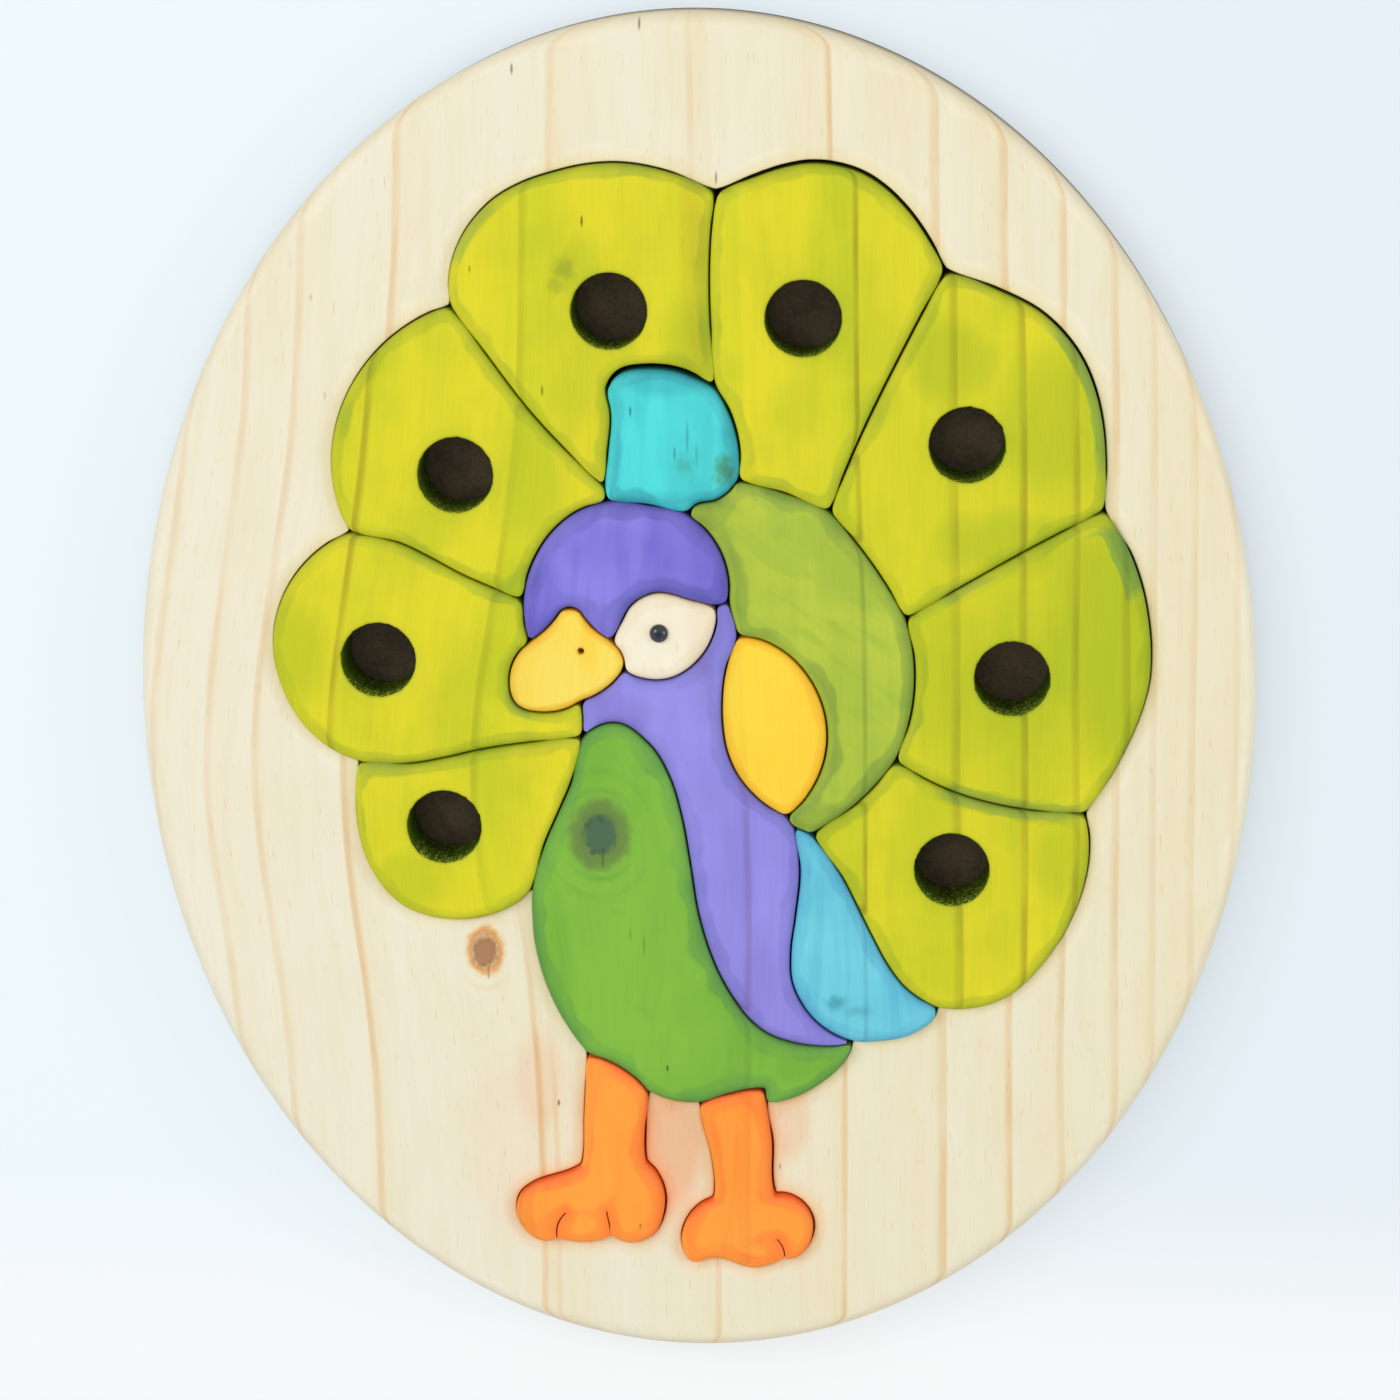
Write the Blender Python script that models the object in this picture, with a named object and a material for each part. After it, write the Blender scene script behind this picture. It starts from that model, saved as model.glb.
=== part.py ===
"""An oval wooden jigsaw puzzle of a peacock, lying flat on its back board.

A pine tray is sawn right through in the shape of the bird and glued on a thin dark backing board.
Nineteen loose pine pieces stand in the opening, a little higher than the tray, and each of them
lifts straight out. The origin is under the middle of the board: +X is to the right of the picture,
+Y is towards the crest, and +Z points up out of the board.
"""

import math

import bmesh
import bpy
from mathutils import Matrix, Vector
from mathutils.geometry import interpolate_bezier

MILLIMETRE = 0.001

# Sizes in millimetres: the bird, and the rim of the tray outside its four furthest points
FIGURE_WIDTH = 234.5
FIGURE_LENGTH = 305.3
LEFT_RIM = 36.8
RIGHT_RIM = 28.7
TOP_RIM = 38.0
BOTTOM_RIM = 24.7

# Thickness of the boards that it is cut from, and the gap left by glue or under a loose piece
BACKING_THICKNESS = 3.0
TRAY_THICKNESS = 15.0
PIECE_THICKNESS = 18.0
SEAT_GAP = 0.3

# What the saw, the sander and the drill leave
SAW_GAP = 0.5
PIECE_EDGE_ROUND = 2.3
PIECE_EDGE_DROP = 1.3
PIECE_CORNER_TRIM = 2.2
INNER_CORNER_TRIM = 1.0
TRAY_EDGE_ROUND = 4.0
OPENING_EDGE_ROUND = 0.4
OPENING_CORNER_TRIM = 0.8
FEATHER_HOLE = 20.0
HOLE_EDGE_ROUND = 0.8
NOSTRIL_HOLE = 1.7
NOSTRIL_DEPTH = 5.0
TOE_SLIT = 0.4

# The loose pieces have slid down against the lower left of the opening: by how much that narrows the saw
# line there, towards its left and its bottom, and widens the saw line above some pieces
NARROWED_LEFT = 0.2
NARROWED_BOTTOM = 0.25
WIDENED_ABOVE = {"crest": 1.0, "tail_feather_top_right": 0.55, "tail_feather_upper_right": 0.3}

# The pupil is a domed bead on a peg, which stands in a drilled socket
PUPIL_HEAD = 5.0
PUPIL_RISE = 1.9
PUPIL_PEG = 2.4
PUPIL_PEG_LENGTH = 8.0
PEG_CLEARANCE = 0.3

# How closely curves are followed
CURVE_STEP = math.radians(15.0)
LONGEST_STEP = 16.0
SHARP_TURN = math.radians(32.0)
HOLE_SIDES = 20
BEAD_SIDES = 16
DOME_STEPS = 4
TRAY_SIDES = 72
ROUND_STEPS = 2
CORNER_STEPS = 3
ARC_HANDLE = 0.6
LARGEST_TRIM = 0.45
SHARPEST_MITRE = 0.15
SHARE_OF_ROOM = 0.85
TOUCHING = 1e-6
OVERCUT = 2.0

# Points where three or four saw lines meet, on the drawing of the bird
CORNERS = {
    "rim_top": (6.4, 138.2),
    "rim_top_right": (66.2, 117.9),
    "rim_right": (108.6, 54.8),
    "rim_low_right": (105.0, -27.9),
    "rim_wing": (66.3, -83.1),
    "rim_neck_tip": (43.2, -93.0),
    "rim_right_hip": (19.4, -110.9),
    "rim_right_thigh": (0.6, -111.3),
    "rim_left_thigh": (-12.8, -108.4),
    "rim_left_hip": (-30.1, -97.5),
    "rim_low_left": (-44.4, -51.4),
    "rim_left": (-91.2, -15.4),
    "rim_upper_left": (-91.8, 47.6),
    "rim_top_left": (-63.7, 108.2),
    "crest_top": (6.2, 87.3),
    "crest_right": (12.1, 62.2),
    "crest_low_right": (-1.5, 53.1),
    "crest_left": (-23.3, 60.2),
    "crest_low_left": (-22.7, 56.4),
    "brow": (-45.5, 29.5),
    "beak_top": (-44.0, 17.9),
    "beak_bottom": (-30.2, 1.8),
    "throat": (-29.8, -7.9),
    "nape": (9.5, 29.6),
    "eye_right": (6.1, 28.0),
    "eye_left": (-21.9, 18.3),
    "eye_bottom": (-18.5, 10.6),
    "shoulder_top": (11.7, 20.3),
    "shoulder_bottom": (24.9, -29.7),
    "neck_low": (26.8, -32.4),
    "back_low": (31.8, -34.4),
    "back_right": (54.0, -13.8),
    "back_upper_right": (56.5, 25.2),
    "back_top": (36.2, 53.9),
    "right_ankle_outer": (21.6, -137.8),
    "right_toe_notch": (24.3, -156.0),
    "right_ankle_inner": (4.7, -138.9),
    "left_ankle_inner": (-14.0, -128.8),
    "left_toe_notch_inner": (-23.6, -150.2),
    "left_toe_notch_outer": (-38.6, -151.3),
    "left_ankle_outer": (-31.9, -130.1),
    "right_hip_peak": (18.8, -106.7),
}

# Saw lines: the corner each one leaves, points on its curve, and the corner it reaches
LINES = {
    "feather_top_left_rim": (
        "rim_top_left",
        [(-62.6, 121), (-52.3, 135.7), (-36, 143.1), (-20, 145.5), (-6, 143.2)],
        "rim_top",
    ),
    "feather_top_right_rim": (
        "rim_top",
        [(16, 142.2), (31, 146), (45, 143.1), (56, 134.2), (63, 124.2)],
        "rim_top_right",
    ),
    "feather_upper_right_rim": (
        "rim_top_right",
        [(80, 112.9), (92, 106.5), (102.5, 94.2), (107.6, 79), (108.8, 66)],
        "rim_right",
    ),
    "feather_middle_right_rim": (
        "rim_right",
        [(116, 42.3), (121, 24), (121.3, 8), (116, -8.8)],
        "rim_low_right",
    ),
    "feather_lower_right_rim": (
        "rim_low_right",
        [(106.2, -40), (102.4, -56), (94.5, -70), (84, -80.3), (73.5, -83.4)],
        "rim_wing",
    ),
    "wing_tip_rim": ("rim_wing", [(64.3, -87), (58.5, -91.1), (50.5, -92.9)], "rim_neck_tip"),
    "breast_right_rim": ("rim_neck_tip", [(40.5, -99.2), (34, -105.5), (26, -109.9)], "rim_right_hip"),
    "right_shin_outer": ("rim_right_hip", [(20.9, -122)], "right_ankle_outer"),
    "right_toe_outer": (
        "right_ankle_outer",
        [(27, -138.6), (32, -144.5), (30.9, -152.6), (27, -156.1)],
        "right_toe_notch",
    ),
    "right_toes": (
        "right_toe_notch",
        [(16.5, -159.3), (5.5, -156.6), (-2, -157.3), (-4.4, -152), (-2.6, -145)],
        "right_ankle_inner",
    ),
    "right_shin_inner": ("right_ankle_inner", [(4, -127), (1.4, -116.5)], "rim_right_thigh"),
    "breast_bottom_rim": ("rim_right_thigh", [(-6, -110.9)], "rim_left_thigh"),
    "left_shin_inner": ("rim_left_thigh", [(-14.1, -120)], "left_ankle_inner"),
    "left_toe_inner": (
        "left_ankle_inner",
        [(-10.2, -133.6), (-8.7, -142), (-13, -151), (-19.5, -152.5)],
        "left_toe_notch_inner",
    ),
    "left_toe_middle": ("left_toe_notch_inner", [(-28, -152.3), (-34, -152.5)], "left_toe_notch_outer"),
    "left_toe_outer": (
        "left_toe_notch_outer",
        [(-43, -152.3), (-49, -147.6), (-49.5, -139.5), (-44.5, -135.2), (-37, -132.6)],
        "left_ankle_outer",
    ),
    "left_shin_outer": ("left_ankle_outer", [(-31.1, -116)], "rim_left_hip"),
    "breast_left_rim": ("rim_left_hip", [(-37.1, -86.8), (-41.6, -76), (-44.1, -64)], "rim_low_left"),
    "feather_lower_left_rim": (
        "rim_low_left",
        [(-52, -57), (-67, -59.8), (-80, -55.9), (-89.5, -43), (-92, -28)],
        "rim_left",
    ),
    "feather_middle_left_rim": (
        "rim_left",
        [(-103, -8.6), (-111.5, 5.5), (-113.2, 19), (-108, 34)],
        "rim_upper_left",
    ),
    "feather_upper_left_rim": (
        "rim_upper_left",
        [(-95.5, 58), (-94.8, 76), (-86, 93.2), (-74, 103.6)],
        "rim_top_left",
    ),
    "feather_top_seam": ("rim_top", [(4.8, 121), (5, 103)], "crest_top"),
    "feather_top_right_seam": ("rim_top_right", [(55, 96.4), (43.5, 72.3)], "back_top"),
    "feather_right_seam": ("rim_right", [(85, 42), (70, 33.2)], "back_upper_right"),
    "feather_low_right_seam": ("rim_low_right", [(90, -27), (70, -22.3)], "back_right"),
    "wing_tip_feather_seam": ("rim_wing", [(57, -77.2), (48.4, -63.6), (40, -46.5)], "back_low"),
    "wing_tip_neck_seam": (
        "rim_neck_tip",
        [(32.5, -86.9), (26.5, -76.5), (27.2, -58), (28.4, -43)],
        "neck_low",
    ),
    "neck_breast_seam": (
        "rim_neck_tip",
        [(34, -94.2), (19.5, -90.8), (7.5, -76), (1, -57), (-3.5, -29.3), (-11.3, -10.6), (-21.5, -4)],
        "throat",
    ),
    "breast_feather_seam": ("throat", [(-33.4, -21), (-40.7, -38)], "rim_low_left"),
    "feather_low_left_seam": ("throat", [(-58, -11.9), (-76, -15.8)], "rim_left"),
    "throat_feather_seam": ("beak_bottom", [(-29.8, -3)], "throat"),
    "beak_feather_seam": ("beak_top", [(-49.4, 9.5), (-47.6, 0.6), (-40, -1.4)], "beak_bottom"),
    "beak_neck_seam": ("beak_bottom", [(-24.3, 4.8)], "eye_bottom"),
    "beak_eye_seam": ("eye_bottom", [(-19.1, 14.6)], "eye_left"),
    "beak_head_seam": ("eye_left", [(-27.4, 22.6), (-32.8, 27.7), (-38.5, 22.6)], "beak_top"),
    "head_low_left_seam": ("brow", [(-45.2, 23.5)], "beak_top"),
    "head_left_seam": ("crest_low_left", [(-33.2, 52), (-42.2, 41)], "brow"),
    "feather_left_seam": ("brow", [(-62, 36.4), (-78, 44.6)], "rim_upper_left"),
    "feather_top_left_seam": ("crest_left", [(-44, 81.7), (-54.6, 96)], "rim_top_left"),
    "crest_top_left_seam": (
        "crest_left",
        [(-22.5, 69), (-21.8, 81.6), (-22.6, 86.6), (-20.3, 90.5), (-10, 92.9)],
        "crest_top",
    ),
    "crest_right_seam": ("crest_top", [(12, 74)], "crest_right"),
    "crest_back_seam": ("crest_right", [(6.5, 56.9), (0.9, 55.5)], "crest_low_right"),
    "crest_head_seam": ("crest_low_right", [(-11.5, 55.4)], "crest_low_left"),
    "crest_left_seam": ("crest_left", [], "crest_low_left"),
    "back_top_seam": ("crest_right", [(24.5, 58.8)], "back_top"),
    "back_upper_right_seam": ("back_top", [(47.5, 40)], "back_upper_right"),
    "back_right_seam": ("back_upper_right", [(59, 6)], "back_right"),
    "back_low_right_seam": ("back_right", [(43.5, -26)], "back_low"),
    "back_wing_tip_seam": ("back_low", [], "neck_low"),
    "back_neck_seam": ("neck_low", [], "shoulder_bottom"),
    "shoulder_back_seam": (
        "shoulder_top",
        [(22.5, 17), (32.5, 6), (35.7, -9), (31.5, -22.2)],
        "shoulder_bottom",
    ),
    "shoulder_neck_seam": ("shoulder_top", [(7.6, 2), (11.5, -17.8)], "shoulder_bottom"),
    "nape_back_seam": ("nape", [], "shoulder_top"),
    "head_back_seam": ("crest_low_right", [(7.2, 43.4)], "nape"),
    "head_nape_seam": ("nape", [], "eye_right"),
    "head_eye_seam": ("eye_right", [(-1.5, 30.0), (-9.5, 31.7), (-16.7, 28), (-19, 24)], "eye_left"),
    "eye_neck_seam": ("eye_right", [(4.4, 18), (-9.2, 7.8)], "eye_bottom"),
    "right_hip_seam": ("rim_right_hip", [], "right_hip_peak"),
    "right_thigh_seam": ("right_hip_peak", [(9.5, -108.4)], "rim_right_thigh"),
    "left_thigh_seam": ("rim_left_thigh", [(-20, -101.8)], "rim_left_hip"),
}

# Each piece is bounded by saw lines, in order round it
PIECES = {
    "tail_feather_top_left": [
        "feather_top_left_rim", "feather_top_seam", "crest_top_left_seam", "feather_top_left_seam",
    ],
    "tail_feather_top_right": [
        "feather_top_right_rim", "feather_top_right_seam", "back_top_seam", "crest_right_seam",
        "feather_top_seam",
    ],
    "tail_feather_upper_right": [
        "feather_upper_right_rim", "feather_right_seam", "back_upper_right_seam", "feather_top_right_seam",
    ],
    "tail_feather_middle_right": [
        "feather_middle_right_rim", "feather_low_right_seam", "back_right_seam", "feather_right_seam",
    ],
    "tail_feather_lower_right": [
        "feather_lower_right_rim", "wing_tip_feather_seam", "back_low_right_seam", "feather_low_right_seam",
    ],
    "tail_feather_upper_left": [
        "feather_upper_left_rim", "feather_top_left_seam", "crest_left_seam", "head_left_seam",
        "feather_left_seam",
    ],
    "tail_feather_middle_left": [
        "feather_middle_left_rim", "feather_left_seam", "head_low_left_seam", "beak_feather_seam",
        "throat_feather_seam", "feather_low_left_seam",
    ],
    "tail_feather_lower_left": ["feather_lower_left_rim", "feather_low_left_seam", "breast_feather_seam"],
    "crest": [
        "crest_top_left_seam", "crest_right_seam", "crest_back_seam", "crest_head_seam", "crest_left_seam",
    ],
    "head": [
        "head_left_seam", "crest_head_seam", "head_back_seam", "head_nape_seam", "head_eye_seam",
        "beak_head_seam", "head_low_left_seam",
    ],
    "eye": ["head_eye_seam", "eye_neck_seam", "beak_eye_seam"],
    "beak": ["beak_head_seam", "beak_eye_seam", "beak_neck_seam", "beak_feather_seam"],
    "neck": [
        "beak_neck_seam", "eye_neck_seam", "head_nape_seam", "nape_back_seam", "shoulder_neck_seam",
        "back_neck_seam", "wing_tip_neck_seam", "neck_breast_seam", "throat_feather_seam",
    ],
    "breast": [
        "neck_breast_seam", "breast_right_rim", "right_hip_seam", "right_thigh_seam", "breast_bottom_rim",
        "left_thigh_seam", "breast_left_rim", "breast_feather_seam",
    ],
    "back": [
        "crest_back_seam", "back_top_seam", "back_upper_right_seam", "back_right_seam",
        "back_low_right_seam",
        "back_wing_tip_seam", "back_neck_seam", "shoulder_back_seam", "nape_back_seam", "head_back_seam",
    ],
    "wing_shoulder": ["shoulder_back_seam", "shoulder_neck_seam"],
    "wing_tip": ["wing_tip_neck_seam", "back_wing_tip_seam", "wing_tip_feather_seam", "wing_tip_rim"],
    "left_leg": [
        "left_thigh_seam", "left_shin_inner", "left_toe_inner", "left_toe_middle", "left_toe_outer",
        "left_shin_outer",
    ],
    "right_leg": [
        "right_thigh_seam", "right_hip_seam", "right_shin_outer", "right_toe_outer", "right_toes",
        "right_shin_inner",
    ],
}

# The saw lines round the whole bird, in order, which the opening in the tray follows
OPENING = [
    "feather_top_left_rim", "feather_top_right_rim", "feather_upper_right_rim", "feather_middle_right_rim",
    "feather_lower_right_rim", "wing_tip_rim", "breast_right_rim", "right_shin_outer", "right_toe_outer",
    "right_toes", "right_shin_inner", "breast_bottom_rim", "left_shin_inner", "left_toe_inner",
    "left_toe_middle", "left_toe_outer", "left_shin_outer", "breast_left_rim", "feather_lower_left_rim",
    "feather_middle_left_rim", "feather_upper_left_rim",
]

FEATHER_HOLES = {
    "tail_feather_top_left": (-21.6, 107.0),
    "tail_feather_top_right": (29.3, 105.2),
    "tail_feather_upper_right": (72.3, 72.0),
    "tail_feather_middle_right": (84.9, 9.2),
    "tail_feather_lower_right": (69.4, -43.7),
    "tail_feather_upper_left": (-62.9, 63.3),
    "tail_feather_middle_left": (-84.6, 12.9),
    "tail_feather_lower_left": (-67.8, -33.3),
}
NOSTRIL = (-30.1, 15.7)
PUPIL = (-9.1, 20.9)
TOE_SLITS = {
    "right_leg": [[(24.3, -156.0), (24.0, -153.0), (22.3, -150.3)]],
    "left_leg": [
        [(-23.6, -150.2), (-24.2, -146.6), (-24.9, -143.0)],
        [(-38.6, -151.3), (-38.6, -147.5), (-36.2, -143.6)],
    ],
}

# Finish: base colour, roughness
PINE = (0.80, 0.62, 0.38, 1.0)
FEATHER_STAIN = (0.62, 0.60, 0.02, 1.0)
LEG_STAIN = (1.00, 0.31, 0.03, 1.0)
COLOURS = {
    "backing_board": (0.035, 0.024, 0.017, 1.0),
    "tray": PINE,
    "crest": (0.07, 0.62, 0.63, 1.0),
    "head": (0.16, 0.14, 0.66, 1.0),
    "neck": (0.24, 0.20, 0.72, 1.0),
    "eye": (0.90, 0.82, 0.62, 1.0),
    "beak": (0.92, 0.64, 0.07, 1.0),
    "breast": (0.19, 0.48, 0.04, 1.0),
    "back": (0.39, 0.58, 0.06, 1.0),
    "wing_shoulder": (0.95, 0.62, 0.03, 1.0),
    "wing_tip": (0.10, 0.55, 0.77, 1.0),
    "left_leg": LEG_STAIN,
    "right_leg": LEG_STAIN,
    "pupil": (0.02, 0.025, 0.04, 1.0),
}
WOOD_ROUGHNESS = 0.5
BEAD_ROUGHNESS = 0.15


def clear_scene():
    """Removes whatever the scene holds."""
    for obj in list(bpy.data.objects):
        bpy.data.objects.remove(obj, do_unlink=True)


def material(name, colour, roughness):
    """A plain finish of one colour."""
    made = bpy.data.materials.new(name)
    made.use_nodes = True
    shader = made.node_tree.nodes["Principled BSDF"]
    shader.inputs["Base Color"].default_value = colour
    shader.inputs["Roughness"].default_value = roughness
    return made


def drawing_limits():
    """The lowest and highest x and y among the points of the drawing."""
    points = list(CORNERS.values())
    for _, between, _ in LINES.values():
        points += between
    across = [x for x, _ in points]
    along = [y for _, y in points]
    return min(across), max(across), min(along), max(along)


DRAWN_LEFT, DRAWN_RIGHT, DRAWN_BOTTOM, DRAWN_TOP = drawing_limits()
BOARD_WIDTH = LEFT_RIM + FIGURE_WIDTH + RIGHT_RIM
BOARD_LENGTH = BOTTOM_RIM + FIGURE_LENGTH + TOP_RIM
SEAT_HEIGHT = BACKING_THICKNESS + SEAT_GAP
TRAY_TOP = SEAT_HEIGHT + TRAY_THICKNESS
PIECE_TOP = SEAT_HEIGHT + PIECE_THICKNESS


def on_board(point):
    """A point of the drawing, placed on the board at the size of the figure."""
    x, y = point
    across = (x - DRAWN_LEFT) / (DRAWN_RIGHT - DRAWN_LEFT) * FIGURE_WIDTH
    along = (y - DRAWN_BOTTOM) / (DRAWN_TOP - DRAWN_BOTTOM) * FIGURE_LENGTH
    return Vector((LEFT_RIM + across - BOARD_WIDTH / 2, BOTTOM_RIM + along - BOARD_LENGTH / 2))


def smooth_line(points):
    """Points along a smooth curve through the given ones, closer together where it bends."""
    ends = [end_guide(points), *points, end_guide(points[::-1])]
    line = [points[0]]
    for before, start, end, after in zip(ends, ends[1:], ends[2:], ends[3:]):
        span = (end - start).length
        leaving = tangent(before, start, end)
        arriving = tangent(start, end, after)
        bend = leaving.angle(end - start) + arriving.angle(end - start)
        steps = max(1, math.ceil(bend / CURVE_STEP), math.ceil(span / LONGEST_STEP))
        bezier = interpolate_bezier(
            start.to_3d(), (start + leaving * span / 3).to_3d(),
            (end - arriving * span / 3).to_3d(), end.to_3d(), steps + 1,
        )
        line += [point.to_2d() for point in bezier[1:]]
    return line


def end_guide(points):
    """A point before the first, such that the curve goes on bending as it does at its second point."""
    if len(points) < 3:
        return 2 * points[0] - points[1]
    chord = points[1] - points[0]
    turn = (points[2] - points[1]).angle_signed(chord)
    back = -chord
    back.rotate(Matrix.Rotation(-turn, 2))
    return points[0] + back


def tangent(before, point, after):
    """The direction of a smooth curve at a point, by its two neighbours, the nearer one weighing more."""
    coming = point - before
    going = after - point
    return (coming / coming.length_squared + going / going.length_squared).normalized()


def line_points(name):
    """The points of one saw line on the board, from its first corner to its second."""
    first, between, last = LINES[name]
    return smooth_line([on_board(point) for point in (CORNERS[first], *between, CORNERS[last])])


def joined(names):
    """The closed outline, turning left, that the named saw lines make in their order round it."""
    first, _, last = LINES[names[0]]
    following = LINES[names[1]]
    at = first if last in (following[0], following[2]) else last
    outline = []
    for name in names:
        points = line_points(name)
        start, _, end = LINES[name]
        if start != at:
            points.reverse()
        at = end if start == at else start
        outline += points[:-1]
    area = sum(a.cross(b) for a, b in around(outline))
    return outline if area > 0 else outline[::-1]


def around(outline):
    """Each point of a closed outline with the next one."""
    return zip(outline, outline[1:] + outline[:1])


def inward(outline):
    """At each point of a closed outline, how it moves when both its sides move one unit to the left."""
    sides = [(b - a).normalized().orthogonal() for a, b in around(outline)]
    moves = []
    for side_before, side_after in zip(sides[-1:] + sides[:-1], sides):
        middle = (side_before + side_after).normalized()
        moves.append(middle / max(middle.dot(side_after), SHARPEST_MITRE))
    return moves


def inset(outline, distance, less_left=0.0, less_down=0.0, more_down=0.0):
    """The closed outline with its sides moved to their own left.

    Those that move towards the board's left or bottom can be moved less, or those that move down more.
    """
    moved = []
    for point, move in zip(outline, inward(outline)):
        towards = move.normalized()
        left, down = max(0.0, -towards.x), max(0.0, -towards.y)
        moved.append(point + move * (distance - less_left * left + (more_down - less_down) * down))
    return moved


def corner_turns(outline):
    """How far a closed outline turns left at each point, in radians."""
    steps = [b - a for a, b in around(outline)]
    return [after.angle_signed(before) for before, after in zip(steps[-1:] + steps[:-1], steps)]


def trimmed(run, first, last):
    """A run of points without a stretch of the given length at each end."""
    for length in (first, last):
        while len(run) > 2 and (run[1] - run[0]).length <= length:
            length -= (run[1] - run[0]).length
            run = run[1:]
        step = run[1] - run[0]
        run = [run[0] + step.normalized() * min(length, step.length / 2), *run[1:]]
        run.reverse()
    return run


def run_length(run):
    """The length of a run of points."""
    return sum((b - a).length for a, b in zip(run, run[1:]))


def round_corners(outline, outer_trim, inner_trim):
    """The closed outline with its sharp corners rounded, outer and inner ones each by their own trim."""
    turns = corner_turns(outline)
    corners = [i for i, turn in enumerate(turns) if abs(turn) > SHARP_TURN]
    if not corners:
        return outline
    runs = []
    for here, following in zip(corners, corners[1:] + [corners[0] + len(outline)]):
        run = [outline[i % len(outline)] for i in range(here, following + 1)]
        most = run_length(run) * LARGEST_TRIM
        wanted = [outer_trim if turns[i % len(outline)] > 0 else inner_trim for i in (here, following)]
        runs.append((outline[here], trimmed(run, *[min(most, trim) for trim in wanted])))
    rounded = []
    for (_, before), (corner, after) in zip(runs[-1:] + runs[:-1], runs):
        arc = interpolate_bezier(
            before[-1].to_3d(), before[-1].lerp(corner, ARC_HANDLE).to_3d(),
            after[0].lerp(corner, ARC_HANDLE).to_3d(), after[0].to_3d(), CORNER_STEPS + 1,
        )
        rounded += [point.to_2d() for point in arc[:-1]] + after[:-1]
    return rounded


def room_inward(outline, normals, most):
    """How far each point can move inward, up to the most, before it meets a point from another side."""
    rooms = []
    for point, normal in zip(outline, normals):
        room = most
        for other in outline:
            away = other - point
            side = away.dot(normal)
            if side > TOUCHING:
                room = min(room, away.length_squared / (2 * side) * SHARE_OF_ROOM)
        rooms.append(room)
    return rooms


def edge_rings(outline, bottom, top, edge_round, edge_drop):
    """Closed rings of 3D points up a wall and over its rounded upper edge, the solid lying to the left."""
    normals = [move.normalized() for move in inward(outline)]
    rounds = room_inward(outline, normals, edge_round)
    rings = [[point.to_3d() + Vector((0, 0, bottom)) for point in outline]]
    steps = ROUND_STEPS if edge_round else 0
    steepness = edge_drop / edge_round if edge_round else 0.0
    for step in range(steps + 1):
        angle = math.pi / 2 * step / ROUND_STEPS
        ring = []
        for point, normal, radius in zip(outline, normals, rounds):
            flat = point + normal * radius * (1 - math.cos(angle))
            ring.append(Vector((flat.x, flat.y, top - radius * steepness * (1 - math.sin(angle)))))
        rings.append(ring)
    return rings


def add_object(name, mesh_data, origin, finish, parent=None):
    """A named object for a bmesh in millimetres on the board, with its own origin."""
    bmesh.ops.recalc_face_normals(mesh_data, faces=mesh_data.faces)
    bmesh.ops.translate(mesh_data, vec=-origin, verts=mesh_data.verts)
    bmesh.ops.scale(mesh_data, vec=Vector((1, 1, 1)) * MILLIMETRE, verts=mesh_data.verts)
    mesh = bpy.data.meshes.new(name)
    mesh_data.to_mesh(mesh)
    mesh_data.free()
    mesh.shade_smooth()
    mesh.set_sharp_from_angle(angle=SHARP_TURN)
    obj = bpy.data.objects.new(name, mesh)
    obj.location = origin * MILLIMETRE
    if finish:
        mesh.materials.append(finish)
    if parent:
        obj.parent = parent
    bpy.context.scene.collection.objects.link(obj)
    return obj


def slab(name, walls, bottom, top, finish, parent=None):
    """A board whose walls follow closed outlines, the solid on their left, and round over at the top.

    Each wall is its outline, how far in its edge is rounded, and how far down.
    """
    made = bmesh.new()
    rims = [[], []]
    for outline, edge_round, edge_drop in walls:
        rings = edge_rings(outline, bottom, top, edge_round, edge_drop)
        rings = [[made.verts.new(point) for point in ring] for ring in rings]
        for lower, upper in zip(rings, rings[1:]):
            for (a, b), (c, d) in zip(around(lower), around(upper)):
                made.faces.new((a, b, d, c))
        for rim, ring in zip(rims, (rings[0], rings[-1])):
            rim += [made.edges.get(pair) for pair in around(ring)]
    for rim in rims:
        bmesh.ops.triangle_fill(made, edges=rim, use_beauty=True)
    outer = walls[0][0]
    centre = sum(outer, Vector((0, 0))) / len(outer)
    return add_object(name, made, Vector((centre.x, centre.y, bottom)), finish, parent)


def ring_outline(centre, diameter, sides, clockwise=False):
    """A closed regular outline."""
    arm = Vector((diameter / 2, 0))
    turn = -math.tau / sides if clockwise else math.tau / sides
    return [centre + Matrix.Rotation(turn * i, 2) @ arm for i in range(sides)]


def board_outline():
    """The oval edge of the board."""
    circle = ring_outline(Vector((0, 0)), 1.0, TRAY_SIDES)
    return [Vector((point.x * BOARD_WIDTH, point.y * BOARD_LENGTH)) for point in circle]


def cutter(name, outline, bottom, top):
    """A hidden upright prism that cuts another piece."""
    made = slab(name, [(outline, 0.0, 0.0)], bottom, top, None)
    made.hide_render = True
    made.display_type = "WIRE"
    return made


def cut(target, tool):
    """Takes the tool's shape out of the target."""
    change = target.modifiers.new(tool.name, "BOOLEAN")
    change.operation = "DIFFERENCE"
    change.object = tool


def slit_outline(path):
    """A thin closed outline along a smooth path, which starts outside the wood."""
    points = smooth_line([on_board(point) for point in path])
    points.insert(0, points[0] + (points[0] - points[1]).normalized() * OVERCUT)
    sides = [[], []]
    for before, point, after in zip(points[:1] + points, points, points[1:] + points[-1:]):
        across = (after - before).normalized().orthogonal() * TOE_SLIT / 2
        sides[0].append(point - across)
        sides[1].append(point + across)
    return sides[0] + sides[1][::-1]


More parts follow.
